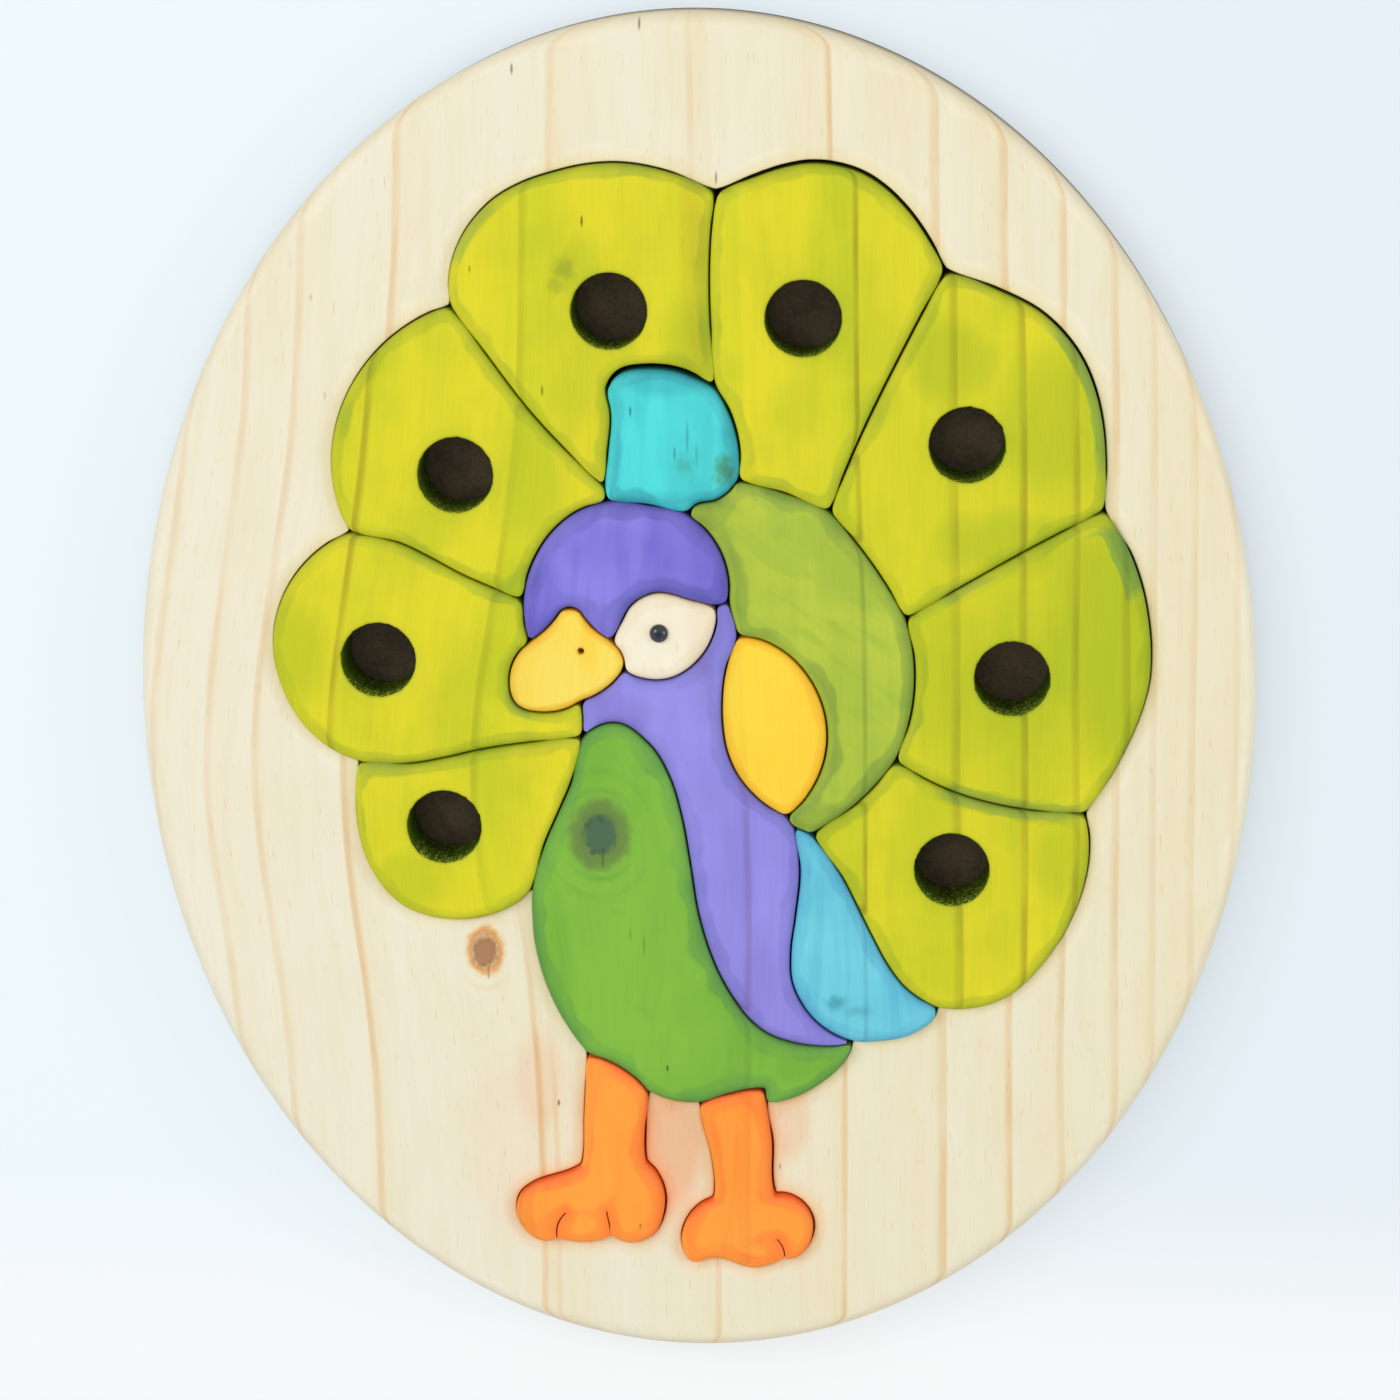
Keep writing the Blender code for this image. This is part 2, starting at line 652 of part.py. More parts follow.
def make_pupil(origin, finish, parent):
    """A domed bead with a peg under it, turned about its own upright axis."""
    head = PUPIL_HEAD / 2
    peg = PUPIL_PEG / 2
    profile = [(0.0, -PUPIL_PEG_LENGTH), (peg, -PUPIL_PEG_LENGTH), (peg, 0.0), (head, 0.0)]
    for step in range(1, DOME_STEPS + 1):
        angle = math.pi / 2 * step / DOME_STEPS
        profile.append((head * math.cos(angle), PUPIL_RISE * math.sin(angle)))
    made = bmesh.new()
    line = [made.verts.new((radius, 0.0, height)) for radius, height in profile]
    edges = [made.edges.new(pair) for pair in zip(line, line[1:])]
    bmesh.ops.spin(
        made, geom=line + edges, cent=(0, 0, 0), axis=(0, 0, 1), angle=math.tau, steps=BEAD_SIDES,
        use_merge=True, use_normal_flip=False, use_duplicate=False,
    )
    bmesh.ops.remove_doubles(made, verts=made.verts, dist=TOUCHING)
    bmesh.ops.translate(made, vec=origin, verts=made.verts)
    return add_object("pupil", made, origin, finish, parent)


def finish_of(name):
    """The stain or wood colour of a named piece."""
    colour = FEATHER_STAIN if name.startswith("tail_feather") else COLOURS[name]
    return material(name, colour, WOOD_ROUGHNESS)


def make_tray(parent):
    """The dark backing board and the pine tray glued on it."""
    oval = board_outline()
    walls = [(oval, 0.0, 0.0)]
    slab("backing_board", walls, 0.0, BACKING_THICKNESS, finish_of("backing_board"), parent)
    opening = inset(joined(OPENING)[::-1], SAW_GAP / 2, NARROWED_LEFT, NARROWED_BOTTOM)
    opening = round_corners(opening, OPENING_CORNER_TRIM, OPENING_CORNER_TRIM)
    walls = [
        (oval, TRAY_EDGE_ROUND, TRAY_EDGE_ROUND),
        (opening, OPENING_EDGE_ROUND, OPENING_EDGE_ROUND),
    ]
    slab("tray", walls, SEAT_HEIGHT, TRAY_TOP, finish_of("tray"), parent)


def make_piece(name, parent):
    """A loose piece between its saw lines, with the hole of a feather where it has one."""
    outline = inset(joined(PIECES[name]), SAW_GAP / 2, more_down=WIDENED_ABOVE.get(name, 0.0))
    outline = round_corners(outline, PIECE_CORNER_TRIM, INNER_CORNER_TRIM)
    walls = [(outline, PIECE_EDGE_ROUND, PIECE_EDGE_DROP)]
    if name in FEATHER_HOLES:
        centre = on_board(FEATHER_HOLES[name])
        hole = ring_outline(centre, FEATHER_HOLE, HOLE_SIDES, clockwise=True)
        walls.append((hole, HOLE_EDGE_ROUND, HOLE_EDGE_ROUND))
    return slab(name, walls, SEAT_HEIGHT, PIECE_TOP, finish_of(name), parent)


def drill(piece, point, diameter, depth):
    """A blind round hole down into a piece from its top."""
    outline = ring_outline(on_board(point), diameter, HOLE_SIDES)
    cut(piece, cutter(piece.name + "_drill", outline, PIECE_TOP - depth, PIECE_TOP + OVERCUT))


def main():
    clear_scene()
    puzzle = bpy.data.objects.new("puzzle", None)
    bpy.context.scene.collection.objects.link(puzzle)
    make_tray(puzzle)
    pieces = {name: make_piece(name, puzzle) for name in PIECES}
    for name, paths in TOE_SLITS.items():
        for number, path in enumerate(paths):
            low, high = SEAT_HEIGHT - OVERCUT, PIECE_TOP + OVERCUT
            cut(pieces[name], cutter(f"{name}_slit_{number}", slit_outline(path), low, high))
    drill(pieces["beak"], NOSTRIL, NOSTRIL_HOLE, NOSTRIL_DEPTH)
    socket_depth = PUPIL_PEG_LENGTH - SEAT_GAP + PEG_CLEARANCE
    drill(pieces["eye"], PUPIL, PUPIL_PEG + 2 * PEG_CLEARANCE, socket_depth)
    bead_seat = on_board(PUPIL).to_3d() + Vector((0, 0, PIECE_TOP + SEAT_GAP))
    make_pupil(bead_seat, material("pupil", COLOURS["pupil"], BEAD_ROUGHNESS), puzzle)


main()
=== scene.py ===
"""Looks of the oval wooden peacock puzzle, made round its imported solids.

The tray, its backing board and the nineteen loose pieces are sawn again along the outlines of their solids,
with fine curves and sanded edges. The wood is one solid pine pattern in the board's own millimetres, so
that growth rings run on from the tray into the pieces, and each piece lays its transparent stain on it.
"""

from __future__ import annotations

import logging
import math
from collections.abc import Callable, Iterable, Iterator
from contextlib import contextmanager
from dataclasses import dataclass, field
from enum import Enum
from functools import reduce

import bmesh
import bpy
import numpy as np
from mathutils import Matrix, Vector
from mathutils.geometry import interpolate_bezier


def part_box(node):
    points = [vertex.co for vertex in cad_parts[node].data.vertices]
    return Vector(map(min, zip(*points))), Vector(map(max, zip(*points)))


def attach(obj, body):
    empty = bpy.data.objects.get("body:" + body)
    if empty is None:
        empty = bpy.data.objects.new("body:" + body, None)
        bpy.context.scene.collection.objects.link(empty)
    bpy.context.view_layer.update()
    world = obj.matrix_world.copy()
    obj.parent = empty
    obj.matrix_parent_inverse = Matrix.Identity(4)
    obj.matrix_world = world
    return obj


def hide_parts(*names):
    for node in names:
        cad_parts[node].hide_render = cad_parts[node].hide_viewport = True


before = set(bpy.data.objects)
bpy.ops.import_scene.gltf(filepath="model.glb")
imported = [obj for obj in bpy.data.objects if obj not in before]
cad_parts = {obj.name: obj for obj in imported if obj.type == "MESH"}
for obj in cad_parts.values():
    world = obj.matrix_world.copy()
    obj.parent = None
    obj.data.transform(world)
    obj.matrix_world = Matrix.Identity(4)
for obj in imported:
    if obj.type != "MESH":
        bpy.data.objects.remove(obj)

LOG = logging.getLogger("peacock_puzzle")
MM = 0.001

Array = np.ndarray
Inputs = bpy.types.NodeInputs
Material = bpy.types.Material
Piece = bpy.types.Object
Colour = tuple[float, float, float]
Point = tuple[float, float, float]
RingPoints = tuple[Array, Array]
Tree = bpy.types.NodeTree
Socket = bpy.types.NodeSocket

# How closely curves are followed, in metres and radians
LINE_STEP = 1.0 * MM
BEND_STEP = math.radians(9.0)
CORNER_TURN = math.radians(62.0)
ROUND_STEPS = 6
SHARE_OF_ROOM = 0.86
SHARE_ROUNDED = 0.62
SMOOTH_ANGLE = math.radians(42.0)
TOUCHING = 1e-6
LEVEL = 1e-5

# What a mesh stores at its points
STATION = "station"
RING = "ring"
EDGE_DISTANCE = "edge_distance"
BORE = "bore"


class Wire:
    """What a node puts out. Arithmetic on it and its methods add nodes, and give what those put out."""

    def __init__(self, socket: Socket) -> None:
        """Holds an output socket and the tree that it is in."""
        self.socket = socket
        self.tree: Tree = socket.id_data

    def __add__(self, other: Value) -> Wire:
        """The sum."""
        return self.math("ADD", other)

    def __sub__(self, other: Value) -> Wire:
        """The difference."""
        return self.math("SUBTRACT", other)

    def __rsub__(self, other: float) -> Wire:
        """The difference from a plain number."""
        return self * -1.0 + other

    def __mul__(self, other: Value) -> Wire:
        """The product."""
        return self.math("MULTIPLY", other)

    def __truediv__(self, other: Value) -> Wire:
        """The quotient."""
        return self.math("DIVIDE", other)

    def math(self, operation: str, *others: Value, clamp: bool = False) -> Wire:
        """One step of arithmetic on this and other numbers."""
        node = add_node(self.tree, "Math", self, *others, operation=operation, use_clamp=clamp)
        return Wire(node.outputs[0])

    def vector(self, operation: str, *others: Value) -> Wire:
        """One step of vector arithmetic on this and other vectors."""
        node = add_node(self.tree, "VectorMath", self, *others, operation=operation)
        return Wire(node.outputs["Value" if operation == "LENGTH" else "Vector"])

    def remap(self, low: float, high: float, start: float = 0.0, end: float = 1.0,
              kind: str = "LINEAR") -> Wire:
        """Carries the range from low to high into the one from start to end, held at its ends."""
        values = (self, low, high, start, end)
        return Wire(add_node(self.tree, "MapRange", *values, interpolation_type=kind, clamp=True).outputs[0])

    def ease(self, low: float, high: float, start: float = 0.0, end: float = 1.0) -> Wire:
        """Does the same, and eases in and out."""
        return self.remap(low, high, start, end, "SMOOTHSTEP")

    def noise(self, cell: Point, detail: float = 2.0) -> Wire:
        """Soft noise from 0 to 1 at this place.

        Args:
            cell: how long its blotches are along x, y and z, in millimetres.
            detail: how many finer layers it has.

        Returns:
            The noise.
        """
        node = add_node(self.tree, "TexNoise", self.vector("DIVIDE", cell), noise_dimensions="3D")
        feed_named(node.inputs, {"Scale": 1.0, "Detail": detail})
        return Wire(node.outputs[0])

    def from_oval(self, across: float, along: float, width: float, height: float) -> Wire:
        """How far this place lies from an oval's centre in units of its half sizes."""
        from_centre = self.vector("SUBTRACT", (across, along, 0.0))
        return from_centre.vector("DIVIDE", (width, height, 1e6)).vector("LENGTH")

    def split(self) -> tuple[Wire, Wire, Wire]:
        """The x, y and z of this vector."""
        return tuple(Wire(socket) for socket in add_node(self.tree, "SeparateXYZ", self).outputs)

    def mix(self, first: Value, second: Value) -> Wire:
        """Mixes two colours by this share from 0 to 1."""
        return mixed(self.tree, "MIX", self, first, second)

    def fade(self, factor: Value, share: Value) -> Wire:
        """Multiplies this colour by a factor, as far as a share from 0 to 1 says."""
        return mixed(self.tree, "MULTIPLY", share, self, factor)


Value = float | tuple[float, ...] | Wire


def add_node(tree: Tree, kind: str, *values: Value, **settings: object) -> bpy.types.Node:
    """Adds a node to a tree.

    Args:
        tree: the tree.
        kind: the node's type without its ShaderNode prefix.
        values: what its first inputs are given.
        settings: properties of the node and their values.

    Returns:
        The new node.
    """
    node = tree.nodes.new("ShaderNode" + kind)
    for name, value in settings.items():
        setattr(node, name, value)
    for socket, value in zip(node.inputs, values):
        feed(socket, value)
    return node


def feed(socket: Socket, value: Value) -> None:
    """Links an input to a wire, or sets it to a plain value.

    Args:
        socket: the input.
        value: what it is given.
    """
    if isinstance(value, Wire):
        value.tree.links.new(value.socket, socket)
    else:
        socket.default_value = (*value, 1.0) if socket.type == "RGBA" else value


def feed_named(sockets: Inputs, values: dict[str, Value]) -> None:
    """Feeds inputs by name."""
    for name, value in values.items():
        feed(sockets[name], value)


def mixed(tree: Tree, blend: str, share: Value, first: Value, second: Value) -> Wire:
    """Mixes two colours.

    Args:
        tree: the tree that the node goes into.
        blend: how the second colour is laid on the first.
        share: how far it is laid on, from 0 to 1.
        first: the colour below.
        second: the colour on top.

    Returns:
        The mixed colour.
    """
    node = add_node(tree, "Mix", share, data_type="RGBA", blend_type=blend)
    feed(node.inputs[6], first)
    feed(node.inputs[7], second)
    return Wire(node.outputs[2])


def join(x: Wire, y: Wire, z: Wire) -> Wire:
    """The vector of three numbers."""
    return Wire(add_node(x.tree, "CombineXYZ", x, y, z).outputs[0])


def most(wires: Iterable[Wire]) -> Wire:
    """The largest of several numbers."""
    return reduce(lambda largest, wire: largest.math("MAXIMUM", wire), wires)


def attribute(tree: Tree, name: str) -> Wire:
    """A number stored on the mesh."""
    node = add_node(tree, "Attribute", attribute_type="GEOMETRY", attribute_name=name)
    return Wire(node.outputs["Fac"])


def bump(height: Wire, strength: float, distance: float) -> Wire:
    """The normal of a surface with a slight relief.

    Args:
        height: how high the relief stands, from 0 to 1.
        strength: how much of it shows, from 0 to 1.
        distance: its full height in metres.

    Returns:
        The normal.
    """
    node = add_node(height.tree, "Bump", strength, distance)
    feed(node.inputs["Height"], height)
    return Wire(node.outputs[0])


def new_material(name: str) -> tuple[Material, Inputs, Wire]:
    """Starts a material.

    Args:
        name: its name.

    Returns:
        The material, its shader's inputs, and the place on the piece in millimetres.
    """
    material = bpy.data.materials.new(name)
    material.use_nodes = True
    shader = material.node_tree.nodes["Principled BSDF"]
    place = Wire(add_node(material.node_tree, "TexCoord").outputs["Object"])
    return material, shader.inputs, place.vector("MULTIPLY", (1 / MM, 1 / MM, 1 / MM))


def new_group(name: str, takes: dict[str, str]) -> tuple[Tree, list[Wire]]:
    """Starts a shared node group.

    Args:
        name: the group's name.
        takes: its inputs, by name, and each one's kind of socket without the NodeSocket prefix.

    Returns:
        Its tree, and the wires that bring its inputs.
    """
    tree = bpy.data.node_groups.new(name, "ShaderNodeTree")
    for socket, kind in takes.items():
        tree.interface.new_socket(socket, in_out="INPUT", socket_type="NodeSocket" + kind)
    source = tree.nodes.new("NodeGroupInput")
    return tree, [Wire(source.outputs[socket]) for socket in takes]


def give(tree: Tree, masks: dict[str, Wire]) -> None:
    """Adds a group's outputs, each fed by the wire of its name.

    Args:
        tree: the group's tree.
        masks: what it puts out, by name.
    """
    for name in masks:
        tree.interface.new_socket(name, in_out="OUTPUT", socket_type="NodeSocketFloat")
    feed_named(tree.nodes.new("NodeGroupOutput").inputs, masks)


def effect(tree: Tree, group: Tree, values: dict[str, Value]) -> dict[str, Wire]:
    """Places a shared node group in a tree.

    Args:
        tree: the material's tree.
        group: the shared group.
        values: what its inputs are given, by name.

    Returns:
        What it puts out, by name.
    """
    node = add_node(tree, "Group", node_tree=group)
    feed_named(node.inputs, values)
    return {socket.name: Wire(socket) for socket in node.outputs}


@dataclass(frozen=True)
class GrowthRing:
    """The dark late wood of one year, where it meets the tray's top far up the board, in millimetres."""

    across: float
    strength: float
    breadth: float = 2.4
    first: float | None = None
    last: float | None = None


@dataclass(frozen=True)
class Knot:
    """A branch cut across: its centre, half width and half height, in millimetres."""

    across: float
    along: float
    width: float
    height: float
    parts_grain: float
    halo: float = 2.0


@dataclass(frozen=True)
class Patch:
    """A soft oval where a coat lies thicker, in millimetres: centre, half sizes, strength, breadth of rim."""

    across: float
    along: float
    width: float
    height: float
    strength: float = 1.0
    breadth: float = 2.5

    def far(self, place: Wire) -> Wire:
        """How far a place lies from its centre, where 1 is on its edge."""
        return place.from_oval(self.across, self.along, self.width, self.height)


@dataclass(frozen=True)
class Mark:
    """A short dark resin mark along the grain: centre, length and strength, in millimetres."""

    across: float
    along: float
    length: float
    strength: float


@dataclass(frozen=True)
class PineBoard:
    """The board that tray and pieces are sawn from, as a solid pattern in millimetres of the puzzle."""

    tray_top: float
    year: float = 14.0
    grain_bend: float = 12.0
    bend_along: float = -15.0
    bend_reach: float = 70.0
    top_along: float = 160.0
    ring_lean: float = 120.0
    lean_spread: float = 500.0
    fading: float = 30.0
    mark_width: float = 0.5
    rings: tuple[GrowthRing, ...] = (
        GrowthRing(-130.0, 0.45), GrowthRing(-115.0, 0.5), GrowthRing(-101.6, 0.55),
        GrowthRing(-77.4, 0.9), GrowthRing(-37.2, 0.4, 2.4, -60.0), GrowthRing(-37.2, 0.95, 1.6, last=-50.0),
        GrowthRing(-33.6, 0.5, 1.2, last=-80.0), GrowthRing(0.0, 0.45, 1.8, -15.0),
        GrowthRing(4.3, 0.65, 1.6, last=0.0), GrowthRing(35.8, 1.0, 1.6), GrowthRing(63.2, 0.8, 3.0),
        GrowthRing(81.5, 0.9), GrowthRing(96.2, 0.7), GrowthRing(110.3, 0.65), GrowthRing(120.4, 0.5),
        GrowthRing(131.0, 0.45), GrowthRing(142.5, 0.35),
    )
    knots: tuple[Knot, ...] = (
        Knot(-25.6, -35.0, 4.6, 5.6, 0.75, 2.0), Knot(-57.6, -69.0, 3.6, 4.9, 0.8, 1.7),
    )
    marks: tuple[Mark, ...] = (
        Mark(-46.4, 169.5, 4.0, 0.8), Mark(-13.2, 181.0, 4.5, 0.8), Mark(6.5, 141.5, 5.0, 0.7),
        Mark(-38.0, -112.5, 2.6, 0.9), Mark(23.0, -130.0, 2.4, 0.5), Mark(-28.4, 130.5, 4.0, 0.9),
        Mark(-39.4, 86.0, 4.0, 0.7), Mark(-16.2, 80.6, 4.0, 0.7), Mark(-4.6, 69.5, 5.0, 0.5),
        Mark(-7.7, -101.0, 2.6, 0.9), Mark(-58.0, 118.0, 3.0, 0.5), Mark(-15.5, -147.0, 2.2, 0.5),
        Mark(-13.8, -66.0, 9.0, 0.35), Mark(-17.5, -63.0, 5.0, 0.3), Mark(-1.2, 74.0, 12.0, 0.4),
        Mark(1.2, 69.0, 9.0, 0.3), Mark(-100.5, 110.0, 3.0, 0.35), Mark(-97.5, 84.0, 3.5, 0.3),
    )

    def group(self) -> Tree:
        """Draws the wood as a shared node group.

        Returns:
            A group that takes a place in millimetres and gives masks of the years' late wood, streaks,
            fibres, knots and marks.
        """
        tree, (place,) = new_group("pine_board", {"Place": "Vector"})
        x, y, z = place.split()
        across = self._unbent(place, x, y, z)
        straight = join(across, y, z)
        late, year = self._late_wood(across, y)
        broad = straight.noise((15.0, 320.0, 40.0)).remap(0.38, 0.62, 0.0, 0.35)
        give(tree, {
            "Late Wood": late * straight.noise((5.0, 34.0, 20.0)).remap(0.36, 0.60, 0.5, 1.0),
            "Year": year * 0.65 + broad,
            "Streaks": straight.noise((3.2, 34.0, 20.0)).ease(0.42, 0.66),
            "Fibre": straight.noise((0.6, 18.0, 1.4)),
            "Pores": straight.noise((0.4, 6.5, 2.0), 1.0).ease(0.67, 0.79),
            "Marks": self._marks(place),
            **self._knots(place, x, y),
        })
        return tree

    def _unbent(self, place: Wire, x: Wire, y: Wire, z: Wire) -> Wire:
        """How far across the trunk a place lies, once the grain's bends and lean are taken out.

        Args:
            place: the place in the puzzle.
            x: how far it lies to the right.
            y: how far it lies up the board.
            z: how high it lies.

        Returns:
            The distance from the trunk's middle.
        """
        slope = x.remap(-75.0, 35.0, -0.031, 0.015) * (self.top_along - y)
        from_bend = (y - self.bend_along) / self.bend_reach
        hump = (from_bend * from_bend * -1.0).math("EXPONENT")
        bend = hump * x.ease(0.0, -60.0, 0.0, -self.grain_bend)
        lean = x * self.ring_lean / (x * x + self.lean_spread) * (z - self.tray_top)
        wave = place.noise((28.0, 90.0, 60.0), 1.0) * 3.0 - 1.5
        across = x - slope - bend - lean - wave
        for knot in self.knots:
            across = across - self._parting(x - knot.across, y - knot.along, knot)
        return across

    @staticmethod
    def _parting(aside: Wire, beyond: Wire, knot: Knot) -> Wire:
        """How far the grain is pushed aside at a distance from a knot.

        Args:
            aside: how far to the knot's right a place lies.
            beyond: how far above the knot it lies.
            knot: the knot.

        Returns:
            How far the grain is pushed.
        """
        far_x = aside / (knot.width * 1.6)
        far_y = beyond / (knot.height * 2.6)
        return aside * knot.parts_grain / (far_x * far_x + far_y * far_y + 1.0)

    def _late_wood(self, across: Wire, y: Wire) -> tuple[Wire, Wire]:
        """Masks of the years.

        Args:
            across: how far across the trunk a place lies.
            y: how far it lies up the board.

        Returns:
            The dark line that ends each year, and how far each year has gone from early to late wood.
        """
        lines = []
        years = []
        for ring in self.rings:
            beyond = (across - ring.across) * (1.0 if ring.across >= 0 else -1.0)
            ending = beyond.ease(0.8, 0.0)
            line = beyond.ease(-ring.breadth, -0.25 * ring.breadth) * ring.strength * ending
            if ring.first is not None:
                line = line * y.remap(ring.first, ring.first + self.fading)
            if ring.last is not None:
                line = line * y.remap(ring.last, ring.last - self.fading)
            lines.append(line)
            years.append(beyond.remap(-self.year, 0.0, 0.0, ring.strength) * ending)
        return most(lines), most(years)

    def _marks(self, place: Wire) -> Wire:
        """The short dark marks of resin.

        Args:
            place: the place in the puzzle.

        Returns:
            Their mask.
        """
        return most(
            place.from_oval(mark.across, mark.along, self.mark_width, mark.length / 2)
            .ease(1.0, 0.3, 0.0, mark.strength)
            for mark in self.marks
        )

    def _knots(self, place: Wire, x: Wire, y: Wire) -> dict[str, Wire]:
        """Masks of the knots' hearts, cracks, glowing edges and halos, and of the grain that swirls round.

        Args:
            place: the place in the puzzle.
            x: how far it lies to the right.
            y: how far it lies up the board.

        Returns:
            The masks by name.
        """
        rough = place.noise((3.2, 3.2, 9.0))
        fine = place.noise((0.9, 2.2, 9.0))
        found = []
        for knot in self.knots:
            far = place.from_oval(knot.across, knot.along, knot.width, knot.height)
            uneven = rough * 0.7 + (far - 0.35)
            found.append({
                "Hearts": uneven.ease(1.2, 0.68),
                "Cracks": self._crack(knot, uneven, fine, x - knot.across, y - knot.along),
                "Glow": uneven.remap(0.95, 1.1) * uneven.ease(1.6, 1.1),
                "Halos": uneven.ease(knot.halo * 1.08, knot.halo * 0.72),
                "Swirls": self._swirls(knot, far, rough, y - knot.along),
            })
        return {name: most(masks[name] for masks in found) for name in found[0]}

    @staticmethod
    def _crack(knot: Knot, far: Wire, fine: Wire, x: Wire, y: Wire) -> Wire:
        """The dark flecks at a knot's heart, and the short split that runs down from it.

        Args:
            knot: the knot.
            far: how far from its middle a place lies, where 1 is on its edge.
            fine: fine noise.
            x: how far to the knot's right the place lies.
            y: how far above the knot it lies.

        Returns:
            Their mask.
        """
        rim = (far - 0.85).math("ABSOLUTE").remap(0.3, 0.05, 0.0, 0.7)
        split = (x - 0.8).math("ABSOLUTE").remap(0.45, 0.1, 0.0, 0.7)
        below = y.remap(-0.7 * knot.height, -0.9 * knot.height)
        reach = y.remap(-1.7 * knot.height, -1.5 * knot.height)
        return (rim * fine.remap(0.48, 0.66)).math("MAXIMUM", split * below * reach)

    @staticmethod
    def _swirls(knot: Knot, far: Wire, rough: Wire, y: Wire) -> Wire:
        """The broad arcs of grain above and below a knot.

        Args:
            knot: the knot.
            far: how far from its middle a place lies, where 1 is on its edge.
            rough: rough noise.
            y: how far above the knot the place lies.

        Returns:
            Their mask.
        """
        wave = (rough * 2.0 + far * 6.0).math("SINE")
        arcs = wave.remap(-0.1, 1.0) * rough.remap(0.35, 0.65, 0.4, 1.0)
        along = y.math("ABSOLUTE").remap(1.2 * knot.height, 2.2 * knot.height)
        inside = far.remap(knot.halo * 0.95, knot.halo * 1.1)
        outside = far.remap(knot.halo * 1.75, knot.halo * 1.35)
        return arcs * along * inside * outside


def edge_stain_and_shade_group() -> Tree:
    """Draws the look of sawn and sanded edges, with painted shade, as a shared node group.

    Returns:
        A group that gives masks of the band that the coat darkens along an edge, with painted shade added
        where a rim faces away from the left light; of end grain; and of painted shade down the saw's wall.
    """
    takes = {"Place": "Vector", "Normal": "Vector"}
    takes |= dict.fromkeys(("Distance", "Rim Width", "Turned", "Slant"), "Float")
    tree, (place, normal, distance, rim_width, turned, slant) = new_group("sawn_edges", takes)
    width = rim_width * place.noise((10.0, 10.0, 30.0), 1.0).remap(0.3, 0.7, 0.6, 1.3)
    share = (place.noise((1.3, 1.3, 1.3)) * 0.3 + (distance - 0.15)) / width
    laid = place.noise((17.0, 21.0, 40.0)).remap(0.36, 0.60, 0.35, 1.0)
    rim = share.ease(1.15, 0.8) * laid * 0.7 + share.remap(0.0, 0.6, 0.5, 0.0)
    # Painted shade: rims facing right and up the board, away from the left light, get the full band; rims
    # facing left and down get only the Turned share.
    nx, ny, _ = normal.split()
    away = (ny * slant + nx).ease(-0.45, 0.0)
    give(tree, {
        "Rim": rim * (away * (1.0 - turned) + turned),
        "End": ny.math("MAXIMUM", ny * -0.6),
        # Painted shade that deepens down the sawn walls below the edge.
        "Wall": distance.remap(-0.5, -8.0),
    })
    return tree


@dataclass
class Workshop:
    """The node groups that every wooden finish shares."""

    wood: Tree
    edges: Tree


@dataclass
class Spot:
    """What a wooden finish knows of a spot on a piece: place and distances in millimetres, and masks."""

    place: Wire
    distance: Wire
    bore: Wire
    wood: dict[str, Wire]
    edges: dict[str, Wire]


